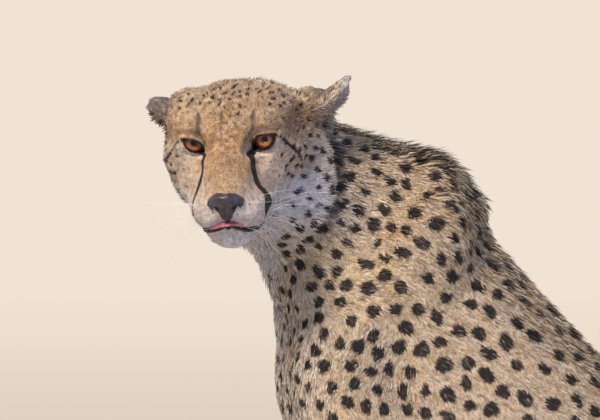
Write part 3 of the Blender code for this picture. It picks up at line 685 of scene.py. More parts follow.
def eyeMiddle(side):
    return toHead(np.array(middle("eye_left" if side > 0 else "eye_right"))[None])[0]


def fromEye(local, side):
    # places in the eye's axes, and how far outside the opening between its lids they are
    own = (local - eyeMiddle(side)) @ eyeAxes(side).T
    return own, outsideOf(lidCurves[side], own[:, :2])


def lidHeight(flat, radius):
    # how far the lids stand before the middle of the eye: over the ball, then straight on
    far = np.linalg.norm(flat, axis=1)
    turn = eyeValues["turn"] * radius
    ball = np.sqrt(np.maximum(radius ** 2 - np.minimum(far, turn) ** 2, 0))
    # towards the nose the skin climbs onto the bridge
    fall = eyeValues["climb"] * np.clip(flat[:, 0] + 1.0, -0.25, 1)
    return ball - fall * np.maximum(far - turn, 0)


def lidded(local, side):
    own, away = fromEye(local, side)
    near = (np.linalg.norm(own[:, :2], axis=1) < 3.4) & (own[:, 2] > -0.4)
    flat, away = own[near, :2], away[near]
    # points close to the rim are drawn onto it
    step = 0.01
    ways = ((step, 0), (0, step))
    slope = unit(np.stack([outsideOf(lidCurves[side], flat + way) - away for way in ways], 1))
    pull = np.where(abs(away) < 0.07, away - 0.02, 0)
    flat = flat - slope * pull[:, None]
    away = away - pull
    lid = lidHeight(flat, eyeValues["radius"] + eyeValues["lid"])
    lid += eyeValues["lidFold"] * fade(abs(away - 0.18), 0.3)
    hidden = lidHeight(flat, eyeValues["radius"]) - eyeValues["under"]
    share = np.where(away > 0, fade(np.maximum(away - 0.10, 0), eyeValues["lidReach"]), 1)
    wanted = np.where(away > 0, lid, hidden)
    own[near, 2] = own[near, 2] * (1 - share) + wanted * share
    own[near, :2] = flat
    return own @ eyeAxes(side) + eyeMiddle(side)


shapeSkin()
told(f"skin shaped, {len(skin.data.polygons)} faces")

# Dark lines on the face. Each has its darkness, whether it is mirrored, how far it sits to the
# animal's right near the brow, and rows of a point in head centimetres and the half width there.
faceLines = {
    "tear": (1.0, 1, 0.18, [
        (0.5, 2.30, -0.95, 0.34), (1.6, 2.20, -1.0, 0.48), (2.9, 2.35, -1.4, 0.54), (3.6, 2.60, -2.5, 0.48),
        (4.0, 3.00, -3.5, 0.50), (3.9, 3.50, -4.3, 0.66), (4.3, 3.70, -4.9, 0.92), (4.9, 3.60, -5.6, 1.0),
    ]),
    "outer": (0.85, 1, 0, [
        (0.3, 4.6, 0.55, 0.13), (-0.3, 5.3, 0.0, 0.18), (-1.0, 5.9, -1.1, 0.23), (-2.2, 6.5, -2.6, 0.17),
        (-3.1, 6.8, -3.8, 0.10),
    ]),
    "browMark": (0.57, 1, 0.18, [
        (1.3, 2.5, 0.9, 0.10), (0.9, 2.6, 1.5, 0.22), (0.2, 2.7, 2.3, 0.26), (-0.8, 2.7, 2.9, 0.16),
    ]),
    "mouth": (1.0, 1, 0.18, [
        (6.7, 0.0, -6.55, 0.20), (6.4, 1.2, -6.8, 0.22), (6.1, 2.2, -6.95, 0.22), (5.0, 3.1, -7.1, 0.16),
    ]),
    "centre": (0.5, 0, 0, [
        (2.8, -0.45, 0.9, 0.12), (2.0, -0.45, 1.4, 0.20), (0.6, -0.5, 2.3, 0.24), (-0.8, -0.55, 3.0, 0.16),
    ]),
}
strokeValues = {
    "rightTear": 0.66,
    "grow": 0.05,  # added to each half width, and the width over which an edge fades
    "soft": 0.10,
    "lidRim": 0.11,
    "upperRim": 0.05,
    "rimSoft": 0.06,
    "reach": 13,  # no line is farther from the middle of the face
    "wobble": (0.03, 0.02),
}
whiskerRows = {
    "rows": 4, "dots": 6, "first": (6.4, 1.15, -5.0), "along": (-0.75, 0.42, -0.06), "drop": 0.42,
    "size": 0.085, "dark": 0.8,
}

noseMiddle = toHead(np.array(middle("nose"))[None])[0]
skinTree = BVHTree.FromPolygons(
    [Vector(p) for p in meshPoints(skin.data)], [p.vertices[:] for p in skin.data.polygons]
)


def onSkin(headPoint):
    # the nearest place on the skin, in head centimetres
    return toHead(np.array(skinTree.find_nearest(Vector(fromHead(headPoint)))[0])[None])[0]


def whiskerDots(side, first=0):
    # each dot on one side of the lips: its row, how far along the row it is and its place
    for row in range(whiskerRows["rows"]):
        for dot in range(first, whiskerRows["dots"]):
            shift = 0.5 * (row % 2) + dot
            place = np.add(whiskerRows["first"], np.multiply(whiskerRows["along"], shift))
            place[2] -= row * whiskerRows["drop"]
            yield row, shift, onSkin(mirrored(place, side))


def inkStrokes():
    # every drawn line as short spans: start, end, half width at each, darkness
    spans = []
    for name, (dark, paired, shift, rows) in faceLines.items():
        for side in sides if paired else (1,):
            table = mirrored(curveThrough(rows, 3), side)
            table[:, 1] -= shift * np.clip((table[:, 2] + 4) / 5, 0, 1)
            if name == "tear" and side < 0:
                table[:, 3] *= strokeValues["rightTear"]
            places = [onSkin(row[:3]) for row in table]
            spans += [(*span, dark) for span in zip(places, places[1:], table[:, 3], table[1:, 3])]
    for side in sides:
        for row, shift, place in whiskerDots(side):
            size = whiskerRows["size"] * (0.7 + 0.5 * dice.random())
            spans.append((place, place + 0.02, size, size, whiskerRows["dark"]))
    return spans


strokes = inkStrokes()


def strokeMask(points):
    # how dark the drawn lines make each point
    local = toHead(points)
    found = np.zeros(len(points))
    near = distanceTo(local, (0, 0, -2)) < strokeValues["reach"]
    some = local[near]
    x, y, z = some.T
    broad, fine = strokeValues["wobble"]
    wobble = broad * np.sin(x * 9 + z * 7) + fine * np.sin(y * 17 - z * 13)
    mask = np.zeros(len(some))
    for start, end, wideA, wideB, strength in strokes:
        span = end - start
        share = np.clip((some - start) @ span / max(span @ span, 1e-9), 0, 1)
        away = np.linalg.norm(some - start - share[:, None] * span, axis=1) + wobble
        wide = wideA * (1 - share) + wideB * share
        inside = (wide + strokeValues["grow"] - away) / strokeValues["soft"]
        mask = np.maximum(mask, strength * np.clip(inside, 0, 1))
    for side in sides:
        own, away = fromEye(some, side)
        rim = strokeValues["lidRim"] - away + strokeValues["upperRim"] * (own[:, 1] > 0.2)
        mask = np.maximum(mask, np.clip(rim / strokeValues["rimSoft"], 0, 1) * (own[:, 2] > 0))
    # the black skin round the foot of the nose leather
    offset = some - noseMiddle
    narrow = 0.12 + 1.2 * np.clip((offset[:, 2] + 1.5) / 1.8, 0, 1)
    under = (abs(offset[:, 1]) < narrow) & (offset[:, 2] < 0.4) & (offset[:, 2] > -1.35) & (some[:, 0] > 5)
    found[near] = np.maximum(mask, under)
    return found


# Spots are spread by their spacing. Each is slightly longer than wide and lies with the hair.
spotValues = {
    "least": 0.9,  # a smaller radius in the chart, in mm, means none
    "bareFace": ((3.6, 0, -3.2), (4.8, 4.6, 4.6)),
    "sizes": (0.84, 1.16),
    "longest": 1.34,
    "head": ((-2.0, 0, -1.0), (12, 11, 11)),
    "stretch": (0.55, 0.5),  # how much longer they are on the head and in the mane
    "apart": (0.40, 0.4),  # radius as a share of the spacing, and how much more in the mane
    "wobble": 0.13,
    "edge": 0.16,
    "deep": 0.016,
}


def cellsRound(low, high):
    return itertools.product(*(range(a, b + 1) for a, b in zip(low, high)))


def scatterSpots():
    points, normals = meshPoints(skin.data), meshNormals(skin.data)
    values, lie = coatAt(points)
    gap = values["gap"] * mm
    local = toHead(points)
    bare = (points[:, 2] < 0.01) | (values["spot"] < spotValues["least"])
    bare |= (distanceTo(local, *spotValues["bareFace"]) < 1) & (local[:, 0] > -1.5)
    cell = 0.012
    taken, chosen = {}, []
    for k in dice.permutation(len(points)):
        if bare[k]:
            continue
        home = (points[k] // cell).astype(int)
        wide = math.ceil(gap[k] / cell)
        near = (other for spot in cellsRound(home - wide, home + wide) for other in taken.get(spot, ()))
        if all(math.dist(points[other], points[k]) >= 0.5 * (gap[k] + gap[other]) for other in near):
            taken.setdefault(tuple(home.tolist()), []).append(k)
            chosen.append(k)
    chosen = np.array(chosen)
    count, places = len(chosen), points[chosen]
    radius = values["spot"][chosen] * mm * dice.uniform(*spotValues["sizes"], count)
    stretch = 1 + (spotValues["longest"] - 1) * dice.random(count) ** 1.3
    onHead = fade(distanceTo(local[chosen], *spotValues["head"]), 1.0) ** 0.5
    mane = np.clip((values["lift"][chosen] - 24) / 8, 0, 1) * (1 - onHead)
    stretch *= 1 + spotValues["stretch"][0] * onHead + spotValues["stretch"][1] * mane
    # they stay apart, but for the long hair of the mane, where they run together
    spacing = np.linalg.norm(places[:, None] - places[None], axis=2)
    np.fill_diagonal(spacing, 1)
    apart, closer = spotValues["apart"]
    radius = np.minimum(radius, (apart + closer * mane) * spacing.min(1) / np.sqrt(stretch))
    return {
        "place": places, "normal": normals[chosen], "lie": lie[chosen],
        "radius": radius, "stretch": stretch, "turn": dice.uniform(-0.5, 0.5, count),
        "phase": dice.uniform(0, math.tau, (count, 3)),
        "strength": 1 - onHead * dice.uniform(0.05, 0.5, count),
    }


spots = scatterSpots()
told(f"{len(spots['radius'])} spots")


def spotMask(points):
    # how dark the spots make each point; the points are kept by cells, so that each spot finds its own
    cell = 0.03

    def codeOf(i, j, h):
        return (i + 500) * 1000000 + (j + 500) * 1000 + h + 500

    code = codeOf(*np.floor(points / cell).astype(np.int64).T)
    order = np.argsort(code, kind="stable")
    names, starts = np.unique(code[order], return_index=True)
    held = dict(zip(names.tolist(), np.split(order, starts[1:])))
    found = np.zeros(len(points))
    for k, (place, radius, stretch) in enumerate(zip(spots["place"], spots["radius"], spots["stretch"])):
        reach = radius * stretch * 1.35
        low, high = (np.floor((place + way * reach) / cell).astype(int) for way in (-1, 1))
        picks = [held[codeOf(*spot)] for spot in cellsRound(low, high) if codeOf(*spot) in held]
        if not picks:
            continue
        picks = np.concatenate(picks)
        offset = points[picks] - place
        normal, along = spots["normal"][k], spots["lie"][k]
        along = unit(along - normal * (along @ normal))
        aside = np.cross(normal, along)
        cosine, sine = math.cos(spots["turn"][k]), math.sin(spots["turn"][k])
        u = offset @ (along * cosine + aside * sine) / (radius * stretch)
        v = offset @ (aside * cosine - along * sine) / (radius / math.sqrt(stretch))
        angle = np.arctan2(v, u)
        a, b, c = spots["phase"][k]
        uneven = 0.6 * np.sin(2 * angle + a) + 0.5 * np.sin(3 * angle + b) + 0.4 * np.sin(5 * angle + c)
        rim = 1 + spotValues["wobble"] * uneven
        share = np.clip((rim - np.hypot(u, v)) / spotValues["edge"] + 0.5, 0, 1)
        share *= (abs(offset @ normal) < spotValues["deep"]) * spots["strength"][k]
        found[picks] = np.maximum(found[picks], share)
    return found


# Tail rings and tip, and the paint of the ears.
tailRings = {"from": 0.45, "to": 0.955, "rings": 5, "wide": (0.16, 0.17)}  # half width and its growth
tailStart = 9  # the row of the back's line where the tail begins
tailBounds = {"behind": 0.30, "under": 0.10}
tailPath = fromBody(curveThrough([row[:3] for row in bodyLines["back"][1][tailStart:]], 8))
tailLength = np.concatenate([[0], np.cumsum(np.linalg.norm(np.diff(tailPath, axis=0), axis=1))])
tailLength /= tailLength[-1]
earSpan = {"from": 0.6, "to": 6.6, "half": 3.2}  # along and aside of each ear, in centimetres
# each ear: the dark patch in head centimetres, and how grey and how pale the rest is
earPaint = {
    "left": {
        "patch": (-7.2, 8.4, 3.1), "size": 2.0, "dark": 0.50, "grey": 0.30, "cream": 0.25, "fringe": 3.6,
    },
    "right": {
        "patch": (-8.8, -7.0, 1.8), "size": 2.4, "dark": 0.46, "grey": 0.9, "cream": 0.05, "fringe": 4.2,
    },
}


def placeMasks(points):
    # rings and ear backs: shares of dark, cream and grey that the lines don't give
    dark, cream, grey = np.zeros((3, len(points)))
    onTail = np.where((points[:, 1] > tailBounds["behind"]) & (points[:, 2] < tailBounds["under"]))[0]
    if len(onTail):
        gaps = np.linalg.norm(points[onTail][:, None, :2] - tailPath[None, :, :2], axis=2)
        along = tailLength[gaps.argmin(1)]
        wave = 0.012 * np.sin(points[onTail, 0] * 300) + 0.008 * np.sin(points[onTail, 2] * 500)
        share = (along + wave - tailRings["from"]) / (tailRings["to"] - tailRings["from"])
        half = tailRings["wide"][0] + tailRings["wide"][1] * np.clip(share, 0, 1)
        ring = np.abs(np.mod(share * tailRings["rings"], 1) - 0.5) < half
        dark[onTail] = ring & (share > 0) & (share < 1)
        cream[onTail] = np.clip((share - 0.98) * 12, 0, 1)
    local = toHead(points)
    for word, (root, lengthwise) in ears.items():
        paint = earPaint[word]
        offset = local - root
        along = offset @ lengthwise
        aside = np.linalg.norm(offset - along[:, None] * lengthwise, axis=1)
        on = np.clip(along - earSpan["from"], 0, 1) * (along < earSpan["to"]) * (aside < earSpan["half"])
        patch = fade(distanceTo(local, paint["patch"]) / paint["size"], 1.0)
        dark = np.maximum(dark, on * np.clip(patch * 1.8, 0, paint["dark"]))
        grey = np.maximum(grey, on * paint["grey"])
        fringe = np.clip((along - paint["fringe"] + 0.3 * np.sin(aside * 5)) / 0.5, 0, 1)
        cream = np.maximum(cream, on * np.maximum(paint["cream"], 0.85 * fringe))
    return dark, cream, grey


# Softer tones: behind the ruff the neck is dark and grey, the mane's darker hair with painted shade where
# the ruff lies over the neck; round each eye and beside the tear line the face is pale, and so is the belly.
toneValues = {
    "collarHairAndShade": {"reach": 2.6, "dark": 0.62, "grey": 0.95},
    "belly": {"from": 0.35, "cream": 0.8, "above": 0.08},
    "eye": {"away": 0.45, "reach": 0.6, "cream": 0.6, "less": 0.8},
    "strip": {"reach": 0.75, "cream": 0.5, "less": 0.7},
}
paleStrip = [(1.6, 1.5, -0.3), (2.9, 1.75, -0.9), (3.9, 2.0, -2.2), (4.6, 2.5, -3.6)]


def collarShade(local):
    # how much of the darker hair and painted shade under the ruff's edge each point takes
    away = np.minimum(*(distanceToLine(local, mirrored(collarLine, side)) for side in sides))
    return fade(away, toneValues["collarHairAndShade"]["reach"])


def darkMarksAndShade(points):
    # spots, lines, rings and ear patches, and painted shade along the ruff's edge
    collarHairAndShade = toneValues["collarHairAndShade"]["dark"] * collarShade(toHead(points))
    return np.maximum.reduce([strokeMask(points), spotMask(points), placeMasks(points)[0], collarHairAndShade])


def markings(points, normals):
    # everything that colours skin and coat alike, each from 0 to 1
    values, lie = coatAt(points)
    cream, grey = placeMasks(points)[1:]
    belly, eye, strip = (toneValues[key] for key in ("belly", "eye", "strip"))
    under = np.clip(-normals[:, 2] - belly["from"], 0, 1) * (points[:, 2] > belly["above"])
    face = {
        "mark": darkMarksAndShade(points),
        "cream": np.clip(np.maximum(values["cream"], cream) + belly["cream"] * under, 0, 1),
        "grizzle": np.clip(np.maximum(values["grizzle"], grey), 0, 1),
        "rust": np.clip(values["rust"], 0, 1),
    }
    local = toHead(points)
    # behind the ruff the coat is painted grey and not cream: partly the mane's darker hair, partly painted
    # shade under the ruff
    behind = collarShade(local)
    face["grizzle"] = np.maximum(face["grizzle"], toneValues["collarHairAndShade"]["grey"] * behind)
    face["cream"] *= 1 - behind
    for side in sides:
        own, away = fromEye(local, side)
        near = (own[:, 2] > -0.5) & (abs(own[:, 0]) < 4) & (abs(own[:, 1]) < 4)
        below = np.clip(0.35 - 0.9 * own[:, 1], 0.05, 1) * np.clip(1.6 + own[:, 0], 0.1, 1)
        pale = fade(abs(away - eye["away"]), eye["reach"]) * near * below
        face["cream"] = np.maximum(face["cream"], eye["cream"] * pale)
        face["rust"] *= 1 - eye["less"] * pale
        face["grizzle"] *= 1 - eye["less"] * pale
        beside = fade(distanceToLine(local, mirrored(paleStrip, side)), strip["reach"])
        face["cream"] = np.maximum(face["cream"], strip["cream"] * beside)
        face["rust"] *= 1 - strip["less"] * beside
    return face, values, lie


def paintSkin():
    mesh = skin.data
    face = markings(meshPoints(mesh), meshNormals(mesh))[0]
    for name, share in {**face, "tipness": 0.25, "chance": 0.45}.items():
        keepValues(mesh, name, np.broadcast_to(share, len(mesh.vertices)))


paintSkin()
told("skin marked")

coatPlan = {
    "cover": 1.5,  # how many hairs deep the coat lies
    "seenSide": 1.1,  # how much denser it is on the left side above the elbows
    "seenFrom": (-0.10, 0.46, 0.06),  # from this X and Z on, and the width of the change
    "fill": 0.62,  # a blade's area as a share of its length times its width
    "wide": (0.44, 0.052, 1.3),  # a tuft's width in mm: at no length, for each mm of length, at most
    "faceWide": 0.52,
    "face": ((0.0, 0, -3.5), (13.5, 12.5, 12.5)),
    "sole": 0.0015,  # nothing grows below this height
    "floor": 0.0004,
    "bareNose": (1.35, 1.75, 1.25),
    "bareLid": 0.10,
    "bareLip": 0.14,
    "patch": 0.003,  # size of each tuft's patch on the skin's map
    "twist": 0.5,
    "sway": 0.14,
    "waves": ((310, 190, 240), (-170, 330, 150)),
    "lock": 0.0042,  # size of the locks the tufts part into
    "lockEdge": 0.0007,
    "lockSway": 0.55,
    "lockRise": (0.6, 0.8),
    "lockTone": 0.52,
    "lengths": (0.75, 1.2),
    "lifts": (0.6, 1.35),
    "widths": (0.8, 1.2),
    "sunk": (0.3, 0.02),  # how deep a tuft is rooted, in mm, and how much more for each mm of length
    "bends": (1.35, 0.45),  # the lift of a blade's lower and upper half, as shares of the tuft's
    "half": (0.42, 0.5),  # half widths at the root and at the bend, as shares of the tuft's
    "marked": (0.45, 0.9),  # where along a blade the marks are read, besides its root
    "ownMark": 0.85,
    "shading": (0.66, 0.34, 0.04),  # the skin's own normal, the tuft's, and chance
    "most": 455000,
    "quickShare": 0.12,
    "facesInPiece": 190000,
}
# on the head some locks are dark-tipped and some pale
lockTones = {
    "head": ((-1, 0, -3), 12.5),
    "dusky": {
        "below": 0.36, "dark": 0.54, "range": (0.7, 1.1), "inCream": 0.7, "along": (0.75, 0.95, 1.05),
    },
    "bright": {"above": 0.66, "grizzle": 0.9, "rust": 0.35},
    "soft": 0.12,
}


def unwrapSkin():
    bpy.context.view_layer.objects.active = skin
    skin.select_set(True)
    bpy.ops.object.mode_set(mode="EDIT")
    bpy.ops.mesh.select_all(action="SELECT")
    bpy.ops.uv.smart_project(angle_limit=math.radians(66), island_margin=0.002)
    bpy.ops.object.mode_set(mode="OBJECT")
    skin.data.uv_layers.active.name = "OFBake"
    skin.select_set(False)


unwrapSkin()
told("skin unwrapped")


def plantRoots():
    # even roots over the skin's triangles, more where the hair is short
    mesh = skin.data
    mesh.calc_loop_triangles()
    count = len(mesh.loop_triangles)
    corners, loops = np.empty(count * 3, np.int32), np.empty(count * 3, np.int32)
    mesh.loop_triangles.foreach_get("vertices", corners)
    mesh.loop_triangles.foreach_get("loops", loops)
    corners, loops = corners.reshape(-1, 3), loops.reshape(-1, 3)
    uv = np.empty(len(mesh.loops) * 2, np.float32)
    mesh.uv_layers["OFBake"].uv.foreach_get("vector", uv)
    uv = uv.reshape(-1, 2)
    points, normals = meshPoints(mesh), meshNormals(mesh)
    a, b, c = (points[corners[:, k]] for k in range(3))
    area = 0.5 * np.linalg.norm(np.cross(b - a, c - a), axis=1)
    centre = (a + b + c) / 3
    values = coatAt(centre)[0]
    length = values["length"] * mm
    wide = tuftWidth(values["length"], centre) * mm
    aside, height, change = coatPlan["seenFrom"]
    seen = np.clip((centre[:, 0] - bodyOrigin[0] - aside) / change, 0, 1)
    seen *= np.clip((centre[:, 2] - height) / change, 0, 1)
    want = area * coatPlan["cover"] * (1 + coatPlan["seenSide"] * seen) / (length * wide * coatPlan["fill"])
    want[(centre[:, 2] < coatPlan["sole"]) | hairless(toHead(centre))] = 0
    scale = min(1, coatPlan["most"] / want.sum()) * 1
    print(f"        {want.sum():.0f} tufts wanted, share {scale:.2f}")
    steps = np.cumsum(want * scale)
    total = int(steps[-1])
    pick = np.searchsorted(steps, np.arange(total) + dice.random(total))
    pick = np.minimum(pick, count - 1)
    r, s = np.sqrt(dice.random(total)), dice.random(total)
    share = np.stack([1 - r, r * (1 - s), r * s], 1)[..., None]
    root = (points[corners[pick]] * share).sum(1)
    normal = unit((normals[corners[pick]] * share).sum(1))
    place = (uv[loops[pick]] * share).sum(1)
    return root, normal, place


def tuftWidth(length, centre):
    least, each, most = coatPlan["wide"]
    face = np.minimum(2 * fade(distanceTo(toHead(centre), *coatPlan["face"]), 1), 1)
    return np.minimum(least + each * length, most) * (1 - (1 - coatPlan["faceWide"]) * face)


def hairless(local):
    # lids, nose and lips
    bare = distanceTo(local, noseMiddle, coatPlan["bareNose"]) < 1
    bare |= distanceToLine(local, mouthLine) < coatPlan["bareLip"]
    for side in sides:
        own, away = fromEye(local, side)
        bare |= (away < coatPlan["bareLid"]) & (own[:, 2] > -0.5)
    return bare


def growCoat():
    root, normal, place = plantRoots()
    face, values, lie = markings(root, normal)
    # the dark marks and the painted shade behind the ruff keep their outline: each part of a blade is marked
    # where it lies
    reach = (values["length"] * mm)[:, None] * lie
    marks = [face["mark"]] + [darkMarksAndShade(root + share * reach) for share in coatPlan["marked"]]
    marks = [(1 - coatPlan["ownMark"]) * marks[0] + coatPlan["ownMark"] * own for own in marks]
    count = len(root)
    length = values["length"] * mm * dice.uniform(*coatPlan["lengths"], count)
    lift = np.radians(values["lift"]) * dice.uniform(*coatPlan["lifts"], count)
    wide = (tuftWidth(values["length"], root) * mm * dice.uniform(*coatPlan["widths"], count))[:, None]
    # the tufts part into locks: neighbours lean, rise and colour together
    cell = np.floor((root + dice.normal(0, coatPlan["lockEdge"], (count, 3))) / coatPlan["lock"]).T
    lean, rise, tone = (hashed(seed, *cell) for seed in (1, 2, 3))
    low, more = coatPlan["lockRise"]
    lift *= low + more * rise
    onHead = fade(distanceTo(toHead(root), lockTones["head"][0]) / lockTones["head"][1], 1.0) ** 0.4
    dusky, bright, soft = lockTones["dusky"], lockTones["bright"], lockTones["soft"]
    dark = dusky["dark"] * onHead * np.clip((dusky["below"] - tone) / soft, 0, 1)
    dark *= dice.uniform(*dusky["range"], count)
    dark *= 1 - dusky["inCream"] * face["cream"]
    low, mid, high = (np.maximum(own, share * dark) for own, share in zip(marks, dusky["along"]))
    light = onHead * np.clip((tone - bright["above"]) / soft, 0, 1)
    for key in ("grizzle", "rust"):
        face[key] = face[key] * (1 - bright[key] * light)
    waves = np.sin(root @ coatPlan["waves"][0]) + np.sin(root @ coatPlan["waves"][1] + 2)
    sway = coatPlan["sway"] * (waves + dice.normal(0, 0.8, count)) + coatPlan["lockSway"] * (lean - 0.5)
    along = unit(lie - normal * (lie * normal).sum(1)[:, None])
    aside = np.cross(normal, along)
    along = along * np.cos(sway)[:, None] + aside * np.sin(sway)[:, None]
    aside = np.cross(normal, along)
    twist = dice.normal(0, coatPlan["twist"], count)
    edge = aside * np.cos(twist)[:, None] + normal * np.sin(twist)[:, None]
    least, each = coatPlan["sunk"]
    start = root - normal * ((least + each * values["length"])[:, None] * mm)
    # a blade stands up at its root and bends over at half its length
    angles = [lift * share for share in coatPlan["bends"]]
    first, second = (along * np.cos(angle)[:, None] + normal * np.sin(angle)[:, None] for angle in angles)
    half = (length * 0.5)[:, None]
    bend = start + first * half
    tip = bend + second * half
    foot, waist = (edge * wide * share for share in coatPlan["half"])
    verts = np.stack([start - foot, start + foot, bend - waist, bend + waist, tip], 1)
    verts[..., 2] = np.maximum(verts[..., 2], coatPlan["floor"])
    # close to the skin's own shading, so that the coat reads as one surface
    cross = np.cross(edge, first)
    facing = (cross * normal).sum(1)
    cross *= np.sign(facing)[:, None]
    ofSkin, ofTuft, chance = coatPlan["shading"]
    shade = unit(ofSkin * normal + ofTuft * cross + dice.normal(0, chance, (count, 3)))
    return {
        "root": root, "verts": verts, "shade": shade, "place": place, "flip": facing < 0,
        "face": face, "mark": np.stack([low, low, mid, mid, high], 1),
        "chance": coatPlan["lockTone"] * tone + (1 - coatPlan["lockTone"]) * dice.random(count),
    }


def regionOf(root):
    # names a coat piece for each root
    local = toHead(root)
    body = root - bodyOrigin
    behind, height = body[:, 1], body[:, 2]
    inHead = distanceTo(local, (-1, 0, -2.8), (13.0, 10.5, 10.8)) < 1
    names = np.full(len(root), "coat_back", object)
    names[behind < 0.20] = "coat_shoulders"
    names[(behind < 0.13) & (height > 0.66)] = "coat_neck"
    names[inHead] = "coat_ruff"
    names[inHead & (local[:, 0] > -4.2)] = "coat_face"
    names[~inHead & (height < 0.46) & (behind < 0.13)] = "coat_forelegs"
    names[(behind > 0.13) & (height < 0.36)] = "coat_haunches"
    names[(behind > 0.545) & (height < 0.13)] = "coat_tail"
    return names


def weaveCoat(tufts):
    regions = regionOf(tufts["root"])
    made = []
    for name in sorted(set(regions)):
        whole = np.where(regions == name)[0]
        parts = max(1, math.ceil(len(whole) * 3 / coatPlan["facesInPiece"]))
        order = whole[np.argsort(tufts["root"][whole, 0], kind="stable")]
        for part, some in enumerate(np.array_split(order, parts)):
            made.append(oneCoat(name if parts == 1 else f"{name}_{part + 1}", tufts, some))
    return made


def oneCoat(name, tufts, some):
    # each tuft is a blade of 5 points and 3 triangles
    count = len(some)
    verts = tufts["verts"][some].reshape(-1, 3)
    base = (np.arange(count) * 5)[:, None]
    plain = np.array((0, 1, 3, 0, 3, 2, 2, 3, 4))
    turned = np.array((0, 3, 1, 0, 2, 3, 2, 4, 3))
    corners = np.where(tufts["flip"][some][:, None], turned, plain) + base
    mesh = bpy.data.meshes.new(name)
    mesh.vertices.add(len(verts))
    mesh.vertices.foreach_set("co", verts.astype(np.float32).ravel())
    mesh.loops.add(count * 9)
    mesh.loops.foreach_set("vertex_index", corners.astype(np.int32).ravel())
    mesh.polygons.add(count * 3)
    mesh.polygons.foreach_set("loop_start", np.arange(count * 3, dtype=np.int32) * 3)
    mesh.update(calc_edges=True)
    mesh.shade_smooth()
    layer = mesh.uv_layers.new(name="OFBake")
    own = np.array(((-0.5, -0.5), (0.5, -0.5), (-0.5, 0), (0.5, 0), (0, 0.5))) * coatPlan["patch"]
    spread = (tufts["place"][some][:, None] + own[None]).reshape(-1, 2)[corners.ravel()]
    layer.uv.foreach_set("vector", spread.astype(np.float32).ravel())
    keepValues(mesh, "mark", tufts["mark"][some].ravel())
    for key in ("cream", "grizzle", "rust"):
        keepValues(mesh, key, np.repeat(tufts["face"][key][some], 5))
    keepValues(mesh, "chance", np.repeat(tufts["chance"][some], 5))
    keepValues(mesh, "tipness", np.tile((0, 0, 0.55, 0.55, 1.0), count))
    mesh.normals_split_custom_set_from_vertices(np.repeat(tufts["shade"][some], 5, axis=0))
    made = bpy.data.objects.new(name, mesh)
    bpy.context.scene.collection.objects.link(made)
    return made


coats = weaveCoat(growCoat())
told(f"coat of {sum(len(o.data.polygons) for o in coats)} faces in {len(coats)} pieces")
for piece in coats:
    print("       ", piece.name, len(piece.data.polygons))

coatColours = {
    # the cream is faintly cool and lilac: white fur with a painted tint of the bluish shade light
    "tan": "#decaa0", "rust": "#a87038", "cream": "#e7e4e6", "grizzle": "#6b6667", "spot": "#1d1a1c",
    "browner": "#b3946c", "golden": "#c3964f", "greyer": "#b5aaa2",
    "duskBrown": "#523a24", "duskSlateForCoolShade": "#757382", "paleIvory": "#eee2cf", "paleGold": "#dcb380",
    "sheen": "#e8ddd0",
}
# the colours laid over tan: what gives the share, the range it is read over, the most it gives, the colour
coatLayers = [
    ("rust", 0, 1, 1, "rust"),
    ("broad", 0.35, 0.70, 0.30, "browner"),
    ("patches", 0.50, 0.68, 0.45, "golden"),
    ("patches", 0.46, 0.30, 0.30, "greyer"),
    ("cream", 0, 1, 1, "cream"),
    ("grizzle", 0, 1, 1, "grizzle"),
    ("locks", 0.42, 0.66, 0.38, "dusk"),
    ("flecks", 0.50, 0.70, 0.45, "dusk"),
    ("flecks", 0.48, 0.30, 0.35, "pale"),
    ("chance", 0.60, 0.90, 0.62, "pale"),  # single hairs: some paler, some darker than their neighbours
    ("chance", 0.36, 0.08, 0.66, "dusk"),
    ("tipness", 0.5, 0, 0.30, "dusk"),  # darker at the root
]
# how many lie on 100 mm, and the detail: a hand's breadth, 14 mm patches, 5 mm locks, 2 mm tufts
coatNoises = {"broad": (0.9, 2), "patches": (7, 3), "locks": (21, 2), "flecks": (52, 2)}
# a few pale hairs lie in the dark spots too: the range each is read over, and the shares it gives
spotShares = {"mark": (0.32, 0.68, 0, 0.97), "chance": (0.70, 0.98, 1, 0.62)}
underHair = {"count": 90, "detail": 3, "strength": 0.4, "distance": 0.0006}


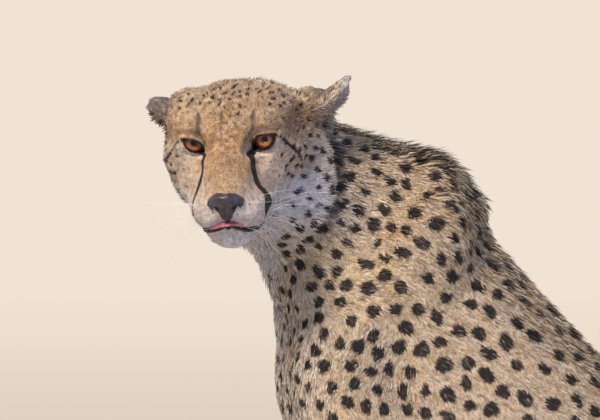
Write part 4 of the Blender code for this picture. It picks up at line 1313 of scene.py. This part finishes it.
def coatMaterial(name, roughness, bump):
    # Hair: fine keratin strands, grown and groomed flat. It gives a soft, slightly silky cover that
    # takes light along its whole length and shows darker between the tufts.
    made, tree, shader = newMaterial(name, {
        "Roughness": roughness, "IOR": 1.55, "Specular IOR Level": 0.2,
        "Sheen Weight": 0.03, "Sheen Roughness": 0.45, "Sheen Tint": tint(coatColours["sheen"]),
    })
    read = {
        key: addNode(tree, "Attribute", {"attribute_name": key}).outputs["Fac"]
        for key in ("mark", "cream", "grizzle", "rust", "chance", "tipness")
    }
    where = addNode(tree, "TexCoord").outputs["Object"]
    for key, (count, detail) in coatNoises.items():
        settings = {"Scale": scaleOf(count), "Detail": detail, "Vector": where}
        read[key] = addNode(tree, "TexNoise", settings).outputs["Fac"]
    over = {key: tint(code) for key, code in coatColours.items()}
    # what darkens is brown in the tawny coat and slate in the white, a cool grey with painted bluish shade
    # in it; what lightens is gold in the rust
    for key, share, a, b in (
        ("dusk", "cream", "duskBrown", "duskSlateForCoolShade"),
        ("pale", "rust", "paleIvory", "paleGold"),
    ):
        settings = {"data_type": "RGBA", 0: read[share], 6: over[a], 7: over[b]}
        over[key] = addNode(tree, "Mix", settings).outputs[2]
    colour = over["tan"]
    for key, low, high, most, laid in coatLayers:
        share = addNode(tree, "MapRange", {1: low, 2: high, 3: 0, 4: most, 0: read[key]}).outputs[0]
        colour = addNode(tree, "Mix", {"data_type": "RGBA", 0: share, 6: colour, 7: over[laid]}).outputs[2]
    full, thin = (
        addNode(tree, "MapRange", {0: read[key], **dict(enumerate(values, 1))}).outputs[0]
        for key, values in spotShares.items()
    )
    dark = addNode(tree, "Math", {"operation": "MULTIPLY", 0: full, 1: thin}).outputs[0]
    # the spot colour lays the spots and lines, and also the painted shade behind the ruff
    colour = addNode(tree, "Mix", {"data_type": "RGBA", 0: dark, 6: colour, 7: over["spot"]}).outputs[2]
    tree.links.new(colour, shader.inputs["Base Color"])
    if bump:
        ripple = addNode(tree, "TexNoise", {
            "Scale": scaleOf(underHair["count"]), "Detail": underHair["detail"], "Vector": where,
        }).outputs["Fac"]
        raised = addNode(tree, "Bump", {
            "Strength": underHair["strength"], "Distance": underHair["distance"], "Height": ripple,
        })
        tree.links.new(raised.outputs[0], shader.inputs["Normal"])
    return made


skin.data.materials.append(coatMaterial("short under-hair on the skin", 0.8, True))
tuftMaterial = coatMaterial("groomed guard hair", 0.62, False)
for piece in coats:
    piece.data.materials.append(tuftMaterial)
told("coat coloured")


def ringFaces(rings, steps, ends):
    # quads between rings of points; the ends are open, closed on each other or capped
    faces = []
    for k in range(rings if ends == "closed" else rings - 1):
        for i in range(steps):
            j, n = (i + 1) % steps, (k + 1) % rings
            faces.append((k * steps + i, k * steps + j, n * steps + j, n * steps + i))
    if ends == "capped":
        faces.append(tuple(range(steps))[::-1])
        faces.append(tuple((rings - 1) * steps + i for i in range(steps)))
    return faces


def spun(name, profile, place, axes, steps=64):
    # a shape turned round the third axis: profile rows are distance ahead and radius, in centimetres
    points = []
    for ahead, radius in profile:
        for k in range(steps):
            angle = math.tau * k / steps
            points.append((radius * math.cos(angle), radius * math.sin(angle), ahead))
    made = newMesh(name, fromHead(np.array(points) @ axes + place), ringFaces(len(profile), steps, "open"))
    bm = bmesh.new()
    bm.from_mesh(made.data)
    bmesh.ops.remove_doubles(bm, verts=bm.verts, dist=1e-7)
    bmesh.ops.recalc_face_normals(bm, faces=bm.faces)
    bm.to_mesh(made.data)
    bm.free()
    made.data.shade_smooth()
    return made


def gazeAxes(side):
    # the eye's own axes turned to where it looks
    outward, up, front = eyeAxes(side)
    a, b = eyeValues["gaze"][side]
    look = unit(outward * a + up * b + front * 1.4)
    right = unit(np.cross(up, look))
    return np.array((right, np.cross(look, right), look))


def makeEye(side, word):
    radius, iris, pupil = eyeValues["radius"], eyeValues["iris"], eyeValues["pupil"]
    edge = math.asin(iris / radius)
    rim = radius * math.cos(edge)
    angles = np.linspace(math.pi - 0.001, edge * 1.10, 40)
    profile = [(radius * math.cos(a), radius * math.sin(a)) for a in angles]
    profile += [(rim - behind, iris * share) for behind, share in eyeValues["bowl"]]
    profile += [(rim - behind, pupil * share) for behind, share in eyeValues["well"]]
    profile.append((rim - eyeValues["wellDepth"], 0.001))
    place, axes = eyeMiddle(side), gazeAxes(side)
    ball = spun(f"eyeball_{word}", profile, place, axes)
    own = (toHead(meshPoints(ball.data)) - place) @ axes.T
    across = np.hypot(own[:, 0], own[:, 1])
    keepValues(ball.data, "across", np.where(own[:, 2] > 0, across / iris, 2))
    for key, column in (("roundA", 0), ("roundB", 1)):
        keepValues(ball.data, key, own[:, column] / np.maximum(across, 1e-6))
    ball.data.materials.append(irisMaterial)
    wide, high = eyeValues["dome"]
    dome = []
    for share in np.linspace(1, 0.001, 16):
        r = iris * wide * share
        dome.append((math.sqrt(radius ** 2 - r ** 2) + high * (1 - share ** 2) ** 1.4 + 0.004, r))
    cornea = spun(f"cornea_{word}", dome, place, axes)
    cornea.data.materials.append(corneaMaterial)
    return ball, cornea


irisStreaks = {"stretch": (9, 9, 1.6), "scale": 1.6, "detail": 4, "range": (0.3, 0.7, 0.72, 1.2)}
irisBands = [
    (0.0, "#040303"), (0.29, "#050303"), (0.33, "#7a461c"), (0.45, "#a4682b"),
    (0.70, "#9c612a"), (0.88, "#7a411d"), (0.95, "#2a150b"), (1.0, "#0c0807"),
]


def makeIrisMaterial():
    # Glass eye: painted under clear glass. Amber streaks run out from a round dark pupil.
    made, tree, shader = newMaterial("painted glass eye", {
        "Roughness": 0.25, "IOR": 1.4, "Coat Weight": 0.15, "Coat Roughness": 0.04,
    })
    across, a, b = (
        addNode(tree, "Attribute", {"attribute_name": key}).outputs["Fac"]
        for key in ("across", "roundA", "roundB")
    )
    turn = addNode(tree, "CombineXYZ", {"X": a, "Y": b, "Z": across}).outputs[0]
    stretch = irisStreaks["stretch"]
    wide = addNode(tree, "VectorMath", {"operation": "MULTIPLY", 0: turn, 1: stretch}).outputs[0]
    streaks = addNode(tree, "TexNoise", {
        "Scale": irisStreaks["scale"], "Detail": irisStreaks["detail"], "Vector": wide,
    }).outputs["Fac"]
    ramp = addNode(tree, "ValToRGB", {"stops": irisBands, "Fac": across})
    dim = addNode(tree, "MapRange", {0: streaks, **dict(enumerate(irisStreaks["range"], 1))}).outputs[0]
    streaked = addNode(tree, "VectorMath", {"operation": "SCALE", 0: ramp.outputs["Color"], "Scale": dim})
    tree.links.new(streaked.outputs[0], shader.inputs["Base Color"])
    return made


def makeCorneaMaterial():
    # Clear glass dome, polished: it only adds the window's reflection over the iris.
    made, tree, shader = newMaterial("clear polished glass")
    tree.nodes.remove(shader)
    clear = addNode(tree, "BsdfTransparent")
    gloss = addNode(tree, "BsdfAnisotropic", {"Roughness": 0.03})
    edge = addNode(tree, "Fresnel", {"IOR": 1.33})
    both = addNode(tree, "MixShader", {0: edge.outputs[0], 1: clear.outputs[0], 2: gloss.outputs[0]})
    tree.links.new(both.outputs[0], tree.nodes["Material Output"].inputs["Surface"])
    return made


words = {1: "left", -1: "right"}
irisMaterial, corneaMaterial = makeIrisMaterial(), makeCorneaMaterial()
eyePieces = {side: makeEye(side, words[side]) for side in sides}
told("eyes")


def tube(path, radii, steps=10, closed=False, flatten=1.0, up=(0.3, 0.2, 1.0)):
    # a round or flattened tube along a path, as points and faces
    path = np.asarray(path, float)
    ahead = np.roll(path, -1, axis=0) - np.roll(path, 1, axis=0)
    if not closed:
        ahead[0], ahead[-1] = path[1] - path[0], path[-1] - path[-2]
    ahead = unit(ahead)
    aside = unit(np.cross(ahead, np.broadcast_to(np.asarray(up, float), path.shape)))
    over = np.cross(aside, ahead)
    points = []
    for k in range(len(path)):
        for i in range(steps):
            angle = math.tau * i / steps
            out = aside[k] * math.cos(angle) + flatten * over[k] * math.sin(angle)
            points.append(path[k] + radii[k] * out)
    return points, ringFaces(len(path), steps, "closed" if closed else "capped")


def clouded(name, settings, clouds, detail, stops, dots=None):
    # A stuff whose tone drifts between two colours: how many clouds lie on 100 mm and their detail,
    # and for its pores how many lie on 100 mm, their strength and their depth.
    made, tree, shader = newMaterial(name, settings)
    where = addNode(tree, "TexCoord").outputs["Object"]
    noise = {"Scale": scaleOf(clouds), "Detail": detail, "Vector": where}
    cloud = addNode(tree, "TexNoise", noise).outputs["Fac"]
    ramp = addNode(tree, "ValToRGB", {"stops": stops, "Fac": cloud})
    tree.links.new(ramp.outputs["Color"], shader.inputs["Base Color"])
    if dots:
        pores, strength, deep = dots
        cells = addNode(tree, "TexVoronoi", {"Scale": scaleOf(pores), "Vector": where}).outputs["Distance"]
        raised = addNode(tree, "Bump", {"Strength": strength, "Distance": deep, "Height": cells})
        tree.links.new(raised.outputs[0], shader.inputs["Normal"])
    return made


# Bare skin of lids and lips: black and fine-pored, a little damp, so it shines in patches.
rimMaterial = clouded(
    "bare lid skin",
    {"Roughness": 0.38, "IOR": 1.45, "Specular IOR Level": 0.5, "Coat Weight": 0.3, "Coat Roughness": 0.25},
    11, 3, [(0.35, "#0d0b0c"), (0.70, "#1d1a1c")], (140, 0.6, 0.0002),
)


def makeRim(side, word):
    curve = curveThrough(almonds[side], 8, closed=True)
    height = lidHeight(curve, eyeValues["radius"] + eyeValues["lid"])
    outer = unit(curve - curve.mean(0))
    upper = np.clip((curve[:, 1] - curve[:, 0] * 0.6 + 0.1) * 2, 0, 1)
    axes = eyeAxes(side)
    flat, ahead = curve + outer * eyeValues["rimOut"], height + eyeValues["upperOut"] * upper
    path = np.column_stack([flat, ahead]) @ axes + eyeMiddle(side)
    radii = eyeValues["rim"] + eyeValues["upperRim"] * upper
    points, faces = tube(path, radii, closed=True, up=axes[2])
    rim = newMesh(f"lid_rim_{word}", fromHead(points), faces)
    rim.data.materials.append(rimMaterial)
    return rim


rims = {side: makeRim(side, words[side]) for side in sides}

noseValues = {"voxel": 0.0008, "swell": 0.0002}
noseMoves = [
    ((6.9, 0, -3.1), (1.2, 0.6, 0.8), (0, 0, -1), 0.12),  # dip along the top
    ((7.75, 0.98, -4.55), (0.75, 0.44, 0.34), (-1, -0.15, 0.1), 0.55),  # nostril
    ((7.3, 1.50, -4.95), (0.75, 0.42, 0.24), (-1, -0.4, 0), 0.40),  # slit beside it
    ((7.9, 0, -5.2), (1.0, 0.13, 1.1), (-1, 0, 0), 0.16),  # parting
]


def makeNose():
    made = voxelled("nose_pad", solidOf("nose", noseValues["swell"]), noseValues["voxel"])
    edges = edgesOf(made.data)
    local = pushed(toHead(relaxed(meshPoints(made.data), edges, 0.8, 10)), noseMoves)
    setPoints(made.data, relaxed(fromHead(local), edges, 0.4, 2))
    # Nose leather: bare skin in fine raised grains, licked damp, so it shines softly.
    made.data.materials.append(clouded(
        "damp nose leather",
        {
            "Roughness": 0.36, "IOR": 1.45, "Specular IOR Level": 0.5,
            "Coat Weight": 0.35, "Coat Roughness": 0.25,
        },
        11, 3, [(0.35, "#201d21"), (0.70, "#4a454d")], (90, 0.6, 0.0004),
    ))
    return made


nose = makeNose()
told("nose")

tongueValues = {
    "place": (6.95, -0.15, -6.55), "half": 1.75, "thick": 0.17, "deep": 0.50,
    "arch": 0.30, "bow": 0.55, "wave": 0.10, "droop": 0.10, "groove": (0.06, 0.12),  # depth and half width
    "steps": (28, 18),
}


def makeTongue():
    # the tip curls up over the lower lip in a shallow bow
    points = []
    across, around = tongueValues["steps"]
    ahead, aside, level = tongueValues["place"]
    deep, wide = tongueValues["groove"]
    for i in range(across + 1):
        t = -1 + 2 * i / across
        x = ahead - tongueValues["bow"] * t * t
        y = aside + t * tongueValues["half"]
        z = level + (tongueValues["arch"] * (1 - t * t) + tongueValues["wave"] * math.sin(2.4 * t + 0.6))
        shrink = math.sqrt(max(0.0, 1 - t ** 4)) + 0.02
        for k in range(around):
            angle = math.tau * k / around
            groove = deep * math.exp(-(t / wide) ** 2) * max(math.sin(angle), 0)
            rise = (tongueValues["thick"] * math.sin(angle) - groove) * shrink
            points.append((
                x + tongueValues["deep"] * shrink * math.cos(angle), y,
                z + rise - tongueValues["droop"] * math.cos(angle),
            ))
    made = newMesh("tongue_tip", fromHead(points), ringFaces(across + 1, around, "capped"))
    # Tongue: wet pink flesh with fine horny points, so it glistens in small dots.
    made.data.materials.append(clouded(
        "wet tongue",
        {
            "Roughness": 0.32, "IOR": 1.4, "Coat Weight": 0.4, "Coat Roughness": 0.12,
            "Subsurface Weight": 0.15, "Subsurface Radius": (0.004, 0.0015, 0.001), "Subsurface Scale": 1.0,
        },
        16, 2, [(0.3, "#7e434d"), (0.7, "#a9686f")], (130, 0.5, 0.0003),
    ))
    return made


tongue = makeTongue()

lipValues = {"lower": 0.06, "ends": 0.07, "middle": 0.15, "flatten": 0.8}


def makeLips():
    # the black edge of the lower lip
    path = np.array([onSkin(p) for p in curveThrough(mouthLine, 8)])
    path[:, 2] -= lipValues["lower"]
    radii = lipValues["ends"] + lipValues["middle"] * (1 - abs(np.linspace(-1, 1, len(path))) ** 2)
    points, faces = tube(path, radii, flatten=lipValues["flatten"])
    made = newMesh("lips", fromHead(points), faces)
    made.data.materials.append(rimMaterial)
    return made


lips = makeLips()
told("mouth")

whiskerValues = {
    "thick": 0.018, "long": (4.4, 8.0), "droop": 1.2, "steps": 10,
    "brows": 3, "browThick": 0.014, "browLong": (2.2, 3.4), "browDroop": -0.3,
}


def makeWhiskers():
    hairs = []

    def plant(root, way, length, droop, thick):
        way = unit(np.asarray(way, float))
        shares = [k / whiskerValues["steps"] for k in range(whiskerValues["steps"] + 1)]
        path = [root + way * length * t + np.array((-0.25, 0, -1.0)) * droop * t * t for t in shares]
        hairs.append(tube(path, [thick * (1 - 0.92 * t) for t in shares], 5))

    for side in sides:
        for row, shift, root in whiskerDots(side, 1):
            way = (
                -0.25 - 0.09 * shift + 0.15 * dice.normal(),
                side * (1.0 + 0.1 * dice.normal()),
                0.12 - 0.28 * row + 0.10 * dice.normal(),
            )
            length = dice.uniform(*whiskerValues["long"]) * (0.45 + 0.11 * shift)
            plant(root, way, length, whiskerValues["droop"] * length / 8, whiskerValues["thick"])
        for k in range(whiskerValues["brows"]):
            root = onSkin((0.6, side * (2.6 + 0.28 * k), 1.9 + 0.10 * k))
            length = dice.uniform(*whiskerValues["browLong"])
            way = (0.55, side * (0.15 + 0.16 * k), 1.0)
            plant(root, way, length, whiskerValues["browDroop"], whiskerValues["browThick"])
    points, faces = joined(hairs)
    made = newMesh("whiskers", fromHead(points), faces)
    # Whisker: one thick stiff hair, solid horn, so it is white and shines along one line.
    made.data.materials.append(clouded(
        "white whisker horn", {"Roughness": 0.3, "IOR": 1.55, "Coat Weight": 0.2},
        6, 2, [(0, "#d9d2c8"), (1, "#f6f2ec")],
    ))
    return made


whiskers = makeWhiskers()
told("whiskers")

pawPlaces = [
    # side, place in the body's frame, turn outward in degrees
    (1, (0.060, -0.046, 0), 4), (-1, (-0.060, -0.024, 0), 4),
    (1, (0.115, 0.205, 0), 9), (-1, (-0.115, 0.190, 0), 9),
]
clawValues = {
    "toes": [(-2.35, 2.6), (-0.85, 3.7), (0.85, 3.8), (2.35, 2.8)],  # aside and ahead on each paw
    "long": 1.5, "thick": 0.30, "flatten": 1.35, "fan": 5, "spread": 1.03, "steps": 8,
    "back": 1.35, "high": 1.55, "curl": (0.25, -1.15), "floor": 0.0005,
}


def makeClaws():
    claws = []
    rise, fall = clawValues["curl"]
    shares = [k / clawValues["steps"] for k in range(clawValues["steps"] + 1)]
    radii = [clawValues["thick"] * (1 - t) ** 0.7 + 0.02 for t in shares]
    for side, place, turn in pawPlaces:
        spin = np.array(Matrix.Rotation(math.radians(side * turn), 3, "Z"))
        for across, reach in clawValues["toes"]:
            fan = math.radians(across * clawValues["fan"])
            ahead = np.array((math.sin(fan), -math.cos(fan), 0))
            root = (across * clawValues["spread"], -reach - clawValues["back"], clawValues["high"])
            path = [
                root + ahead * clawValues["long"] * t + (0, 0, rise * t + fall * t * t)
                for t in shares
            ]
            points, faces = tube(path, radii, flatten=clawValues["flatten"], up=(0, 0, 1))
            claws.append((fromBody(np.array(points) * cm @ spin.T + place), faces))
    points, faces = joined(claws)
    points = np.array(points)
    points[:, 2] = np.maximum(points[:, 2], clawValues["floor"])
    made = newMesh("claws", points, faces)
    # Claw: layered horn worn blunt by running, dark at the root and greyer at the tip.
    made.data.materials.append(clouded(
        "worn claw horn", {"Roughness": 0.35, "IOR": 1.55},
        30, 3, [(0, "#1d1815"), (1, "#5b5048")],
    ))
    return made


claws = makeClaws()
told("claws")

stageValues = {
    "radius": 70,
    "sides": 96,
    # the paper is darker out to some 12 m round the animal: painted shade that holds down the lamps' light
    # there and its warm bounce
    "floor": [(0.05, "#b9b4ad"), (0.20, "#dccebd"), (0.45, "#ecdecd"), (0.80, "#f1e3d4")],  # outward
    "behind": "#f1e3d4",
    "shade": "#989db5",
    "turned": (-0.75, 0.1),  # over what heading the room grows cooler
}
lamps = {
    # name: place, aim, size, power, colour
    "key": ((2.5, -2.0, 3.4), (0.0, -0.1, 0.6), 1.2, 205, "#ffeedb"),
    "fill": ((2.8, 1.8, 1.0), (0.0, 0.0, 0.5), 2.2, 30, "#b4c8ff"),
    "back": ((-2.4, 0.8, 2.6), (0.0, 0.0, 0.5), 1.8, 30, "#fff4e6"),
}


def makeFloor():
    # a wide round floor that fades into the light of the room behind it
    count = stageValues["sides"]
    angles = [math.tau * k / count for k in range(count)]
    rim = [(stageValues["radius"] * math.cos(a), stageValues["radius"] * math.sin(a), 0) for a in angles]
    floor = newMesh("floor", rim, [tuple(range(count))], smooth=False)
    # Paper sweep: pulp rolled matt, so it has no gloss and takes only soft shadows; far off it glows with
    # painted room light.
    material, tree, shader = newMaterial("matt paper sweep", {"Roughness": 0.9})
    where = addNode(tree, "TexCoord").outputs["Object"]
    far = addNode(tree, "VectorMath", {"operation": "LENGTH", 0: where}).outputs["Value"]
    out = addNode(tree, "MapRange", {0: far, 1: 0, 2: 60}).outputs[0]
    paper = addNode(tree, "ValToRGB", {"stops": stageValues["floor"], "Fac": out}).outputs["Color"]
    tree.links.new(paper, shader.inputs["Base Color"])
    # far off it takes the light of the room on that side
    way = addNode(tree, "VectorMath", {"operation": "NORMALIZE", 0: where}).outputs["Vector"]
    ahead = addNode(tree, "SeparateXYZ", {0: way}).outputs["X"]
    low, high = stageValues["turned"]
    turned = addNode(tree, "MapRange", {0: ahead, 1: low, 2: high}).outputs[0]
    shade = tint(stageValues["shade"])
    room = addNode(tree, "Mix", {"data_type": "RGBA", 0: turned, 6: paper, 7: shade}).outputs[2]
    glow = addNode(tree, "Emission", {"Strength": 1.0, "Color": room})
    share = addNode(tree, "MapRange", {0: far, 1: 3, 2: 12}).outputs[0]
    both = addNode(tree, "MixShader", {0: share, 1: shader.outputs[0], 2: glow.outputs[0]})
    tree.links.new(both.outputs[0], tree.nodes["Material Output"].inputs["Surface"])
    floor.data.materials.append(material)


def makeRoom():
    # pale warm light behind the animal, a cooler dimmer room before it
    world = bpy.data.worlds.new("studio")
    bpy.context.scene.world = world
    world.use_nodes = True
    tree = world.node_tree
    way = addNode(tree, "TexCoord").outputs["Generated"]
    ahead = addNode(tree, "SeparateXYZ", {0: way}).outputs["X"]
    low, high = stageValues["turned"]
    share = addNode(tree, "MapRange", {0: ahead, 1: low, 2: high}).outputs[0]
    stops = [(0, stageValues["behind"]), (1, stageValues["shade"])]
    colours = addNode(tree, "ValToRGB", {"stops": stops, "Fac": share})
    tree.links.new(colours.outputs["Color"], tree.nodes["Background"].inputs["Color"])
    tree.nodes["Background"].inputs["Strength"].default_value = 1.0


def makeLamps():
    for name, (place, aim, size, power, code) in lamps.items():
        data = bpy.data.lights.new(name, "AREA")
        data.shape, data.size, data.energy, data.color = "DISK", size, power, tint(code)[:3]
        lamp = bpy.data.objects.new(name, data)
        lamp.location = place
        lamp.rotation_euler = (Vector(aim) - Vector(place)).to_track_quat("-Z", "Y").to_euler()
        bpy.context.scene.collection.objects.link(lamp)


makeFloor()
makeRoom()
makeLamps()
bpy.context.scene.view_settings.view_transform = "Standard"
told("stage and lamps")

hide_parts(*flesh)
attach(skin, "root")
for piece in coats:
    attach(piece, "root")
for side, word in words.items():
    ball, cornea = eyePieces[side]
    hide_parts(f"eye_{word}")
    for piece in (ball, cornea):
        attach(piece, "root")
    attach(rims[side], "root")
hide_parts("nose")
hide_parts("tongue")
finishes = [
    (nose, "nose_leather"), (tongue, "tongue"), (lips, "nose_leather"), (whiskers, "coat"),
    (claws, "nose_leather"),
]
for piece, finish in finishes:
    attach(piece, "root")

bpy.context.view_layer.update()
told("finished")
